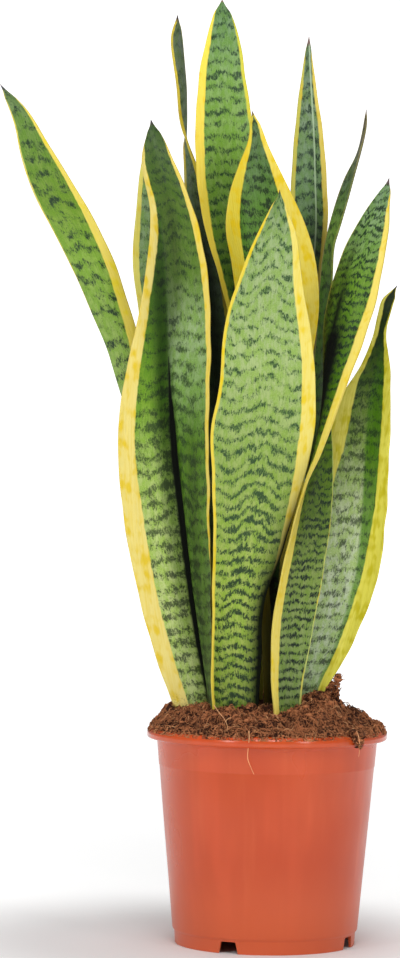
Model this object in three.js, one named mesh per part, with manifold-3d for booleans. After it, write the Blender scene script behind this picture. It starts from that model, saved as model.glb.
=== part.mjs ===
// A snake plant in a 17 cm nursery pot: a turned plastic pot, the heaped soil that fills it,
// and eleven sword leaves that stand in plain holes in the soil.
// Millimetres, +Z up, -Y towards the front. The origin is on the floor, in the middle of the
// box round the whole plant, so the pot's own axis stands to the right of it.

import * as THREE from "three";
import * as BufferGeometryUtils from "three/addons/utils/BufferGeometryUtils.js";
import Module from "manifold-3d";

const wasm = await Module();
wasm.setup();

// ---- Driving sizes ----

const potAxisX = 53.5;
const sides = 48;
const clearance = 0.3;

const wall = 1.5;
const footRadius = 63.6;
const footHeight = 9.3;
const floorThickness = 1.6;
const wallStartRadius = 65.5;
const wallStartHeight = 11;
const wallTopRadius = 77.8;
const wallTopHeight = 143;
const stepHeight = 126.5;
const stepRise = 0.4;
const lipRadius = 85;
const lipUnderside = 145.3;
const lipTop = 153;

const drains = 4;
const firstDrainAngle = THREE.MathUtils.degToRad(-24.5);
const notchBottomWidth = 15;
const notchTopWidth = 11;
const notchHeight = 8.4;
const drainSlotWidth = 9;
const drainSlotLength = 10;
const drainSlotRadius = 54;

const soilRimRadius = 82;
const soilRimHeight = 155.5;
const soilMound = 13;
const soilShoulder = 27;
const soilRingRadii = [80, 76, 71, 65, 58, 50, 41, 31, 20, 10];

const leafRings = 22;
const twistedLeafRings = 30;
const leafSectionPoints = 12;
const leafEdgeThickness = 0.9;
const leafThickness = 3.2;
const leafFootThickness = 5.4;
const leafFootFade = 120;

// ---- Leaves ----
// Each leaf is given by its left and right edges, bottom to tip, as [height, x, y] from the pot's
// axis. fold is how far the middle stands behind the straight line between the edges, as a share of
// half the width, at the foot, halfway up and at the tip. Where it is negative, the middle comes
// forward. ridge is where across the leaf the fold lies, from 0 at the left edge to 1 at the right,
// at the same three heights, and bend how rounded it is (1 is a sharp V).

const leaves = [
  {
    name: "leaf_far_left",
    color: 0x8aa65e,
    fold: [0.5, -0.3, 0.15],
    left: [
      [148, -55, 21], [177, -59, 22], [241, -74, 26], [312, -89, 27], [386, -107, 26], [420, -118, 25],
      [462, -136, 22], [504, -157, 17], [531, -171, 14], [557, -180, 12], [583, -186, 10], [606, -195.5, 6.5],
    ],
    right: [
      [148, -38, 16], [178, -40, 16], [241, -54, 20], [312, -69, 22], [386, -87, 22], [430, -95.3, 20],
      [473, -109.2, 18], [504, -123, 14], [534, -141, 11], [562, -159, 9], [589, -176, 7], [606, -194, 5.5],
    ],
  },
  {
    name: "leaf_front_left",
    color: 0x4f6f47,
    fold: [0.6, 0.45, 0.2],
    ridge: [0.58, 0.49, 0.02],
    bend: 1.35,
    left: [
      [148, -62, -9], [169, -67, -8], [195, -77, -10], [257, -94.7, -14], [334, -107, -18], [383, -106, -20],
      [430, -97, -22], [477, -89, -24], [513, -87, -24], [550, -93, -24], [571, -89.5, -24], [580, -88, -24],
    ],
    right: [
      [148, -42, -34], [175, -39, -38], [245, -41, -42], [321, -43, -46], [384, -44, -46], [433, -43.3, -44],
      [483, -48, -40], [524, -59, -34], [558, -74, -28], [573, -82, -25], [580, -86.5, -24.5],
    ],
  },
  {
    name: "leaf_small_left",
    color: 0x55744b,
    fold: [0.5, 0.25, 0.15],
    left: [
      [148, -53, 1], [179, -56, 0], [270, -69, 4], [384, -86, 8], [447, -95, 10], [479, -99, 12],
      [513, -98, 14], [552, -94, 16], [577, -88.7, 18],
    ],
    right: [
      [148, -42, -5], [179, -40, -6], [271, -50, -4], [384, -64, 2], [447, -72, 6], [497, -75, 10],
      [540, -78, 14], [565, -83, 17], [577, -87.3, 18],
    ],
  },
  {
    name: "leaf_back_left",
    color: 0x5b7a55,
    rings: twistedLeafRings,
    fold: [0.5, 0.2, 0.1],
    left: [
      [148, -38, 39], [176, -40, 40], [312, -46, 44], [384, -54, 46], [456, -59, 48], [514, -63, 52],
      [554, -64, 56], [568, -64.5, 58], [577, -63, 60], [605, -63, 63], [632, -65, 63], [650, -67, 61],
      [662, -69.7, 58.7],
    ],
    right: [
      [148, -23, 28], [177, -21, 28], [313, -21, 34], [384, -25, 38], [456, -32, 42], [514, -44, 46],
      [556, -56, 50], [568, -61, 51], [577, -65, 52], [590, -68, 52], [610, -70, 52], [645, -74, 54],
      [656, -72, 56], [662, -70.3, 57.4],
    ],
  },
  {
    name: "leaf_tall_centre",
    color: 0x5f8a52,
    fold: [0.55, 0.3, 0.2],
    left: [
      [148, -19, 14], [178, -21, 14], [313, -24, 18], [399, -28, 22], [449, -32, 24], [478, -40, 26],
      [506, -48, 28], [536, -54, 30], [570, -56, 32], [603, -55, 34], [635, -51, 36], [659, -45, 38],
      [671, -40.2, 39],
    ],
    right: [
      [148, -5, 14], [178, -3, 14], [313, 1, 18], [399, 0, 22], [449, -2, 24], [499, -5, 26],
      [542, -10, 30], [581, -15, 32], [617, -21, 34], [645, -26, 36], [664, -33, 38], [671, -35.8, 39],
    ],
  },
  {
    name: "leaf_yellow_centre",
    color: 0xb9b04a,
    fold: [0.5, 0.3, 0.2],
    left: [
      [148, -2, -14], [180, -3, -14], [272, -10, -16], [370, -17, -16], [441, -24, -16], [482, -30, -14],
      [505, -34, -12], [528, -32, -8], [550, -25, -4], [568, -19, 0], [589, -16.7, 3.5],
    ],
    right: [
      [148, 12, -10], [180, 14, -10], [272, 19, -10], [371, 27, -8], [415, 29, -6], [452, 33, -4],
      [484, 30, -2], [512, 21, 0], [538, 9, 2], [564, -4, 3], [581, -11, 4], [589, -15.3, 4],
    ],
  },
  {
    name: "leaf_front_centre",
    color: 0x7da05c,
    fold: [0.5, 0.22, 0.15],
    left: [
      [146, -36, -44], [170, -39, -45], [273, -40, -52], [329, -41, -56], [365, -43, -58], [388, -38, -58],
      [437, -34, -58], [470, -24, -56], [500, -12, -54], [516, -4, -53], [526, 1, -52], [530, 2.2, -52],
    ],
    right: [
      [146, -10, -38], [170, -7, -38], [203, -6, -38], [246, -3, -40], [282, 9, -44], [325, 21, -50],
      [363, 29, -54], [385, 30, -56], [415, 28, -57], [466, 20, -56], [497, 15, -54], [517, 8, -53],
      [530, 3.8, -52],
    ],
  },
  {
    name: "leaf_back_right",
    color: 0x64885a,
    fold: [0.55, 0.35, 0.2],
    ridge: [0.72, 0.72, 0.66],
    bend: 1.3,
    left: [
      [148, 14, 40], [177, 13, 40], [313, 13, 42], [421, 13, 46], [486, 13, 48], [541, 13, 50],
      [574, 15, 52], [602, 18, 54], [626, 21, 55], [648, 24.3, 56],
    ],
    right: [
      [148, 26, 40], [177, 27, 40], [313, 30, 42], [421, 34, 46], [477, 37, 48], [514, 40, 50],
      [541, 39, 52], [577, 36, 53], [610, 31, 54], [637, 27, 56], [648, 25.7, 56],
    ],
  },
  {
    name: "leaf_narrow_right",
    color: 0x6a8a52,
    fold: [0.5, 0.3, 0.2],
    left: [
      [148, 24, 22], [178, 23, 22], [299, 26, 26], [385, 29, 26], [428, 32, 24], [464, 34, 25],
      [485, 36, 27], [507, 40, 30], [543, 51, 34], [562, 60, 36], [579, 64, 37], [594, 66, 36.8],
    ],
    right: [
      [148, 34, 12], [179, 35, 12], [300, 38, 10], [385, 39, 8], [428, 40, 9], [470, 42, 12],
      [495, 43, 14], [508, 47, 16], [540, 56, 22], [562, 61.5, 28], [581, 66, 33], [594, 66.4, 35.4],
    ],
  },
  {
    name: "leaf_twisted_right",
    color: 0x5c7f4a,
    rings: twistedLeafRings,
    fold: [0.1, 0.4, 0.15],
    left: [
      [142, 6.5, -52], [164, 3.8, -54], [204, 0, -54], [230, 1, -56], [272, 8, -60], [314, 19, -64],
      [345, 34, -66], [388, 48, -62], [444, 68.3, -51], [476, 75.3, -44], [498, 79, -38], [525, 81, -32],
      [541, 80.6, -29.6],
    ],
    right: [
      [142, 22, -36], [181, 23, -34], [212, 28, -34], [252, 35, -34], [305, 42, -34], [336, 43, -32],
      [371, 41, -28], [420, 36, -22], [452, 38, -20], [478, 45, -20], [505, 56, -24], [525, 69, -28],
      [537, 77, -30], [541, 79.2, -30.4],
    ],
  },
  {
    name: "leaf_far_right",
    color: 0x4c6852,
    fold: [0.5, 0.25, 0.15],
    ridge: [0.62, 0.66, 0.6],
    left: [
      [148, 24, -14], [181, 22, -14], [244, 27, -14], [315, 33, -14], [350, 38, -13], [389, 50, -10],
      [413, 64, -8], [430, 70.8, -7], [445, 74, -6], [458, 78.3, -5], [467, 87.4, -5],
    ],
    right: [
      [148, 37, -16], [180, 40, -16], [200, 52, -18], [228, 65, -22], [259, 75, -26], [306, 81, -28],
      [350, 83, -24], [393, 82, -16], [431, 79, -10], [445, 82, -8], [454, 85, -6], [467, 88.6, -5],
    ],
  },
];

// ---- Shared tools ----

function solidOf(geometry) {
  const bare = geometry.clone();
  bare.deleteAttribute("normal");
  bare.deleteAttribute("uv");
  const merged = BufferGeometryUtils.mergeVertices(bare);
  const vertProperties = new Float32Array(merged.attributes.position.array);
  const triVerts = new Uint32Array(merged.index.array);
  return new wasm.Manifold(new wasm.Mesh({ numProp: 3, vertProperties, triVerts }));
}

function geometryOf(solid) {
  const mesh = solid.getMesh();
  const geometry = new THREE.BufferGeometry();
  geometry.setAttribute("position", new THREE.BufferAttribute(mesh.vertProperties, 3));
  geometry.setIndex(new THREE.BufferAttribute(mesh.triVerts, 1));
  geometry.computeVertexNormals();
  return geometry;
}

function named(name, geometry, color, roughness) {
  const material = new THREE.MeshStandardMaterial({ color, roughness, metalness: 0 });
  const mesh = new THREE.Mesh(geometry, material);
  mesh.name = name;
  return mesh;
}

function turned(profile) {
  const points = profile.map(([radius, height]) => new THREE.Vector2(radius, height));
  const geometry = new THREE.LatheGeometry(points, sides);
  geometry.rotateX(Math.PI / 2);
  return geometry;
}

// ---- Pot ----

function outerRadiusAt(height) {
  const share = (height - wallStartHeight) / (wallTopHeight - wallStartHeight);
  return THREE.MathUtils.lerp(wallStartRadius, wallTopRadius, share);
}

function innerWall(gap) {
  const inset = wall + gap;
  return [
    [wallTopRadius - inset, wallTopHeight],
    [outerRadiusAt(stepHeight) - inset, stepHeight],
    [wallStartRadius + 0.1 - inset, wallStartHeight + floorThickness + gap],
    [footRadius - 1 - gap, footHeight + floorThickness + gap],
    [0, footHeight + floorThickness + gap],
  ];
}

function potProfile() {
  const footInside = footRadius - 1.7;
  const stepFoot = outerRadiusAt(stepHeight) - stepRise / 2;
  return [
    [0, footHeight],
    [footInside, footHeight],
    [footInside, 0],
    [footRadius, 0],
    [footRadius + 0.5, footHeight],
    [wallStartRadius, wallStartHeight],
    [stepFoot, stepHeight - 0.3],
    [stepFoot + stepRise, stepHeight + 0.3],
    [wallTopRadius, wallTopHeight],
    [wallTopRadius + 0.3, lipUnderside],
    [lipRadius - 1.6, lipUnderside],
    [lipRadius - 0.3, lipUnderside + 1],
    [lipRadius, lipUnderside + 3.6],
    [lipRadius - 0.6, lipTop - 1.4],
    [lipRadius - 2.4, lipTop],
    [wallTopRadius + 0.8, lipTop],
    [wallTopRadius - 0.9, lipTop - 0.8],
    ...innerWall(0),
  ];
}

function drainNotch() {
  const outline = new THREE.Shape([
    new THREE.Vector2(-notchBottomWidth / 2, -1),
    new THREE.Vector2(notchBottomWidth / 2, -1),
    new THREE.Vector2(notchTopWidth / 2, notchHeight),
    new THREE.Vector2(-notchTopWidth / 2, notchHeight),
  ]);
  const geometry = new THREE.ExtrudeGeometry(outline, { depth: 12, bevelEnabled: false });
  geometry.rotateX(Math.PI / 2);
  geometry.translate(0, 6 - footRadius, 0);
  return geometry;
}

function drainSlot() {
  const geometry = new THREE.BoxGeometry(drainSlotWidth, drainSlotLength, 4);
  geometry.translate(0, -drainSlotRadius, footHeight + floorThickness / 2);
  return geometry;
}

function potGeometry() {
  let solid = solidOf(turned(potProfile()));
  for (let index = 0; index < drains; index += 1) {
    const angle = firstDrainAngle + (index * 2 * Math.PI) / drains;
    for (const cutter of [drainNotch(), drainSlot()]) {
      cutter.rotateZ(angle);
      solid = solid.subtract(solidOf(cutter));
    }
  }
  return geometryOf(solid);
}

// ---- Leaves ----

function edgeCurve(points) {
  const heights = points.map(([height]) => height);
  const places = points.flatMap(([, x, y]) => [x, y]);
  const curve = new THREE.CubicInterpolant(heights, places, 2);
  return (height) => new THREE.Vector2(...curve.evaluate(height));
}

function threePointCurve(values) {
  const curve = new THREE.CubicInterpolant([0, 0.5, 1], values, 1);
  return (share) => curve.evaluate(share)[0];
}

// One point of a leaf's skin. share runs up the leaf and angle round its section: cos gives the
// place across the leaf, sin the face. grow widens the section all round.
function leafPoint(leaf, curves, share, angle, grow) {
  const bottom = leaf.left[0][0];
  const top = leaf.left[leaf.left.length - 1][0];
  const climb = (share + Math.sin((share * Math.PI) / 2)) / 2;
  const height = THREE.MathUtils.lerp(bottom, top, climb);
  const left = curves.left(height);
  const right = curves.right(height);
  const middle = left.clone().add(right).multiplyScalar(0.5);
  const halfWidth = left.distanceTo(right) / 2;
  const across = right.clone().sub(left).normalize();
  const behind = new THREE.Vector2(-across.y, across.x);

  const place = Math.cos(angle);
  const ridge = curves.ridge(climb) * 2 - 1;
  const reach = place < ridge ? ridge + 1 : 1 - ridge;
  const fromRidge = Math.abs(place - ridge) / reach;
  const sag = curves.fold(climb) * halfWidth * (1 - fromRidge ** (leaf.bend ?? 2));

  const footShare = THREE.MathUtils.clamp(1 - (height - bottom) / leafFootFade, 0, 1);
  const body = THREE.MathUtils.lerp(leafThickness, leafFootThickness, footShare);
  const thick = Math.min(body, leafEdgeThickness + halfWidth * 0.25);
  const halfThick = (leafEdgeThickness + (thick - leafEdgeThickness) * Math.abs(Math.sin(angle))) / 2;
  const offset = sag - Math.sign(Math.sin(angle)) * (halfThick + grow);

  const flat = middle
    .addScaledVector(across, place * (halfWidth + grow))
    .addScaledVector(behind, offset);
  return new THREE.Vector3(flat.x, flat.y, share === 0 ? height - grow : height);
}

function leafGeometry(leaf, grow = 0) {
  const curves = {
    left: edgeCurve(leaf.left),
    right: edgeCurve(leaf.right),
    fold: threePointCurve(leaf.fold),
    ridge: threePointCurve(leaf.ridge ?? [0.5, 0.5, 0.5]),
  };
  const halfStep = Math.PI / leafSectionPoints;
  const rings = leaf.rings ?? leafRings;
  const geometry = new THREE.CylinderGeometry(1, 1, 1, leafSectionPoints, rings, false, halfStep);
  geometry.rotateX(Math.PI / 2);
  const spots = geometry.attributes.position;
  for (let index = 0; index < spots.count; index += 1) {
    const unit = new THREE.Vector3().fromBufferAttribute(spots, index);
    const share = unit.z + 0.5;
    const angle = Math.atan2(-unit.y, unit.x);
    const spot = leafPoint(leaf, curves, share, angle, grow);
    if (Math.hypot(unit.x, unit.y) < 0.5) {
      const front = leafPoint(leaf, curves, share, Math.PI / 2, grow);
      const back = leafPoint(leaf, curves, share, -Math.PI / 2, grow);
      spot.addVectors(front, back).multiplyScalar(0.5);
    }
    spots.setXYZ(index, spot.x, spot.y, spot.z);
  }
  geometry.computeVertexNormals();
  return geometry;
}

// ---- Soil ----

function bell(x, y, centreX, centreY, spreadX, spreadY) {
  return Math.exp(-(((x - centreX) / spreadX) ** 2) - ((y - centreY) / spreadY) ** 2);
}

// The heap stands just above the lip all round, with a higher mound at the right and a hollow beside
// it, a steep heap at the left, a hollow at the front and small lumps all over.
function soilHeightAt(x, y) {
  const inward = (soilRimRadius - Math.hypot(x, y)) / soilShoulder;
  const shoulder = THREE.MathUtils.smoothstep(inward, 0, 1);
  const rightMound = 10 * bell(x, y, 34, -8, 16, 32) - 5 * bell(x, y, 57, 0, 8, 50);
  const leftHeap = 7 * bell(x, y, -71, 2, 6, 26);
  const frontHollow = 5 * bell(x, y, 4, -62, 26, 16);
  const lumps = 0.9 * Math.sin(x * 0.31 + y * 0.17) + 0.8 * Math.sin(y * 0.37 - x * 0.13 + 2);
  return soilRimHeight + leftHeap + shoulder * (soilMound + lumps + rightMound - frontHollow);
}

function soilGeometry() {
  const skirtUnderside = lipTop + clearance;
  const outline = [
    [0, soilRimHeight],
    ...soilRingRadii.toReversed().map((radius) => [radius, soilRimHeight]),
    [soilRimRadius, soilRimHeight],
    [soilRimRadius, skirtUnderside],
    [wallTopRadius - wall - clearance, skirtUnderside],
    ...innerWall(clearance),
  ];
  const geometry = turned(outline.toReversed());
  const spots = geometry.attributes.position;
  for (let index = 0; index < spots.count; index += 1) {
    if (spots.getZ(index) > soilRimHeight - 0.01) {
      spots.setZ(index, soilHeightAt(spots.getX(index), spots.getY(index)));
    }
  }
  let solid = solidOf(geometry);
  for (const leaf of leaves) {
    solid = solid.subtract(solidOf(leafGeometry(leaf, clearance)));
  }
  return geometryOf(solid);
}

// ---- The plant ----

const plant = new THREE.Group();
plant.position.x = potAxisX;
plant.add(named("pot", potGeometry(), 0xc65d3d, 0.35));
plant.add(named("soil", soilGeometry(), 0x6b412c, 0.95));
for (const leaf of leaves) {
  plant.add(named(leaf.name, leafGeometry(leaf), leaf.color, 0.4));
}

export default plant;
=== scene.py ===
import math
import random

import bpy
import numpy as np
from bpy.props import (
    FloatProperty,
    FloatVectorProperty,
    IntProperty,
    PointerProperty,
)
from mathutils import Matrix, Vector, noise


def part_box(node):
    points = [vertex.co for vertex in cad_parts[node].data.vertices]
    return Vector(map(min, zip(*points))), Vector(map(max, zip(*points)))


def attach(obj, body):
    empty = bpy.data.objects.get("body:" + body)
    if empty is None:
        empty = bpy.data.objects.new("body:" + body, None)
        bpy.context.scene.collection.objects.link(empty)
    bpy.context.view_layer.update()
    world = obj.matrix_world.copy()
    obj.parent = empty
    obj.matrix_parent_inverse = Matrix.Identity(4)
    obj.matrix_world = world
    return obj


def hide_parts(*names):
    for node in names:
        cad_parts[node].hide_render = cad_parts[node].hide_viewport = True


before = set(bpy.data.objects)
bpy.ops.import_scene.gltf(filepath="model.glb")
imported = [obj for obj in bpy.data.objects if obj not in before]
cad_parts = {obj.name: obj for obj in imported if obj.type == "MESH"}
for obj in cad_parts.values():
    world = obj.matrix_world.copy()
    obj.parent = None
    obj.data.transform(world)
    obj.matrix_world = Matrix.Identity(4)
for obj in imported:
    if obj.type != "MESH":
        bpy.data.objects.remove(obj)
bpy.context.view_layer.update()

bl_info = {
    "name": "Potted snake plant",
    "version": (1, 0, 0),
    "blender": (4, 5, 0),
    "location": "View3D > Sidebar > Plant",
    "description": "Makes a snake plant in a nursery pot, with its soil, leaves, camera and light",
    "category": "Add Mesh",
}

POT_LOW, POT_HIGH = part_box("pot")
POT_AXIS = ((POT_LOW.x + POT_HIGH.x) / 2, (POT_LOW.y + POT_HIGH.y) / 2)
LIP_RADIUS = (POT_HIGH.x - POT_LOW.x) / 2
MM = 0.001

# ---- Where each leaf stands ----
# Millimetres from the pot's axis. left and right are the edges from the foot to the tip, as
# (height, x, y). fold is how far the middle stands behind the line between the edges, as a share
# of half the width, at the foot, halfway and at the tip; ridge is where across the leaf that line
# lies and bend how rounded the fold is. crease is half the width of the fold's slot and of the
# black shade painted at its bottom, and hollow how dark the shade painted on the near side of it
# is, both by height. The margins are (height, width) of the yellow edge, below zero where it has
# ended.
#
# greens and right_greens are (share of the height, colour from 0 to 255), the second of them for
# what lies right of the fold. Along with the leaf's own greens they hold painted light and shade:
# a paler sheen where a face met the lights, darker green where it turned away or lies low in the
# clump, and the two wings of a fold as lit and shaded copies. pale is the margin's colour on the
# left and on the right, painted duller where a margin lay in shade, and deep the ripe colour that
# yellow says how much of it has. The bands lie spacing apart at the foot, halfway and at the tip,
# rise chevron in the middle and are as dark as strength and band say; blotch is how far they break
# up, and cover (share of the height, at the left, in the middle, at the right) how few of them
# there are. ridge_line is how pale the line along the fold is. tip is the dry tip's length and
# colour. shades are (face, height, place across from -1 to 1, how tall, how wide, how dark) of the
# places that lie deep between the leaves.

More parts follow.
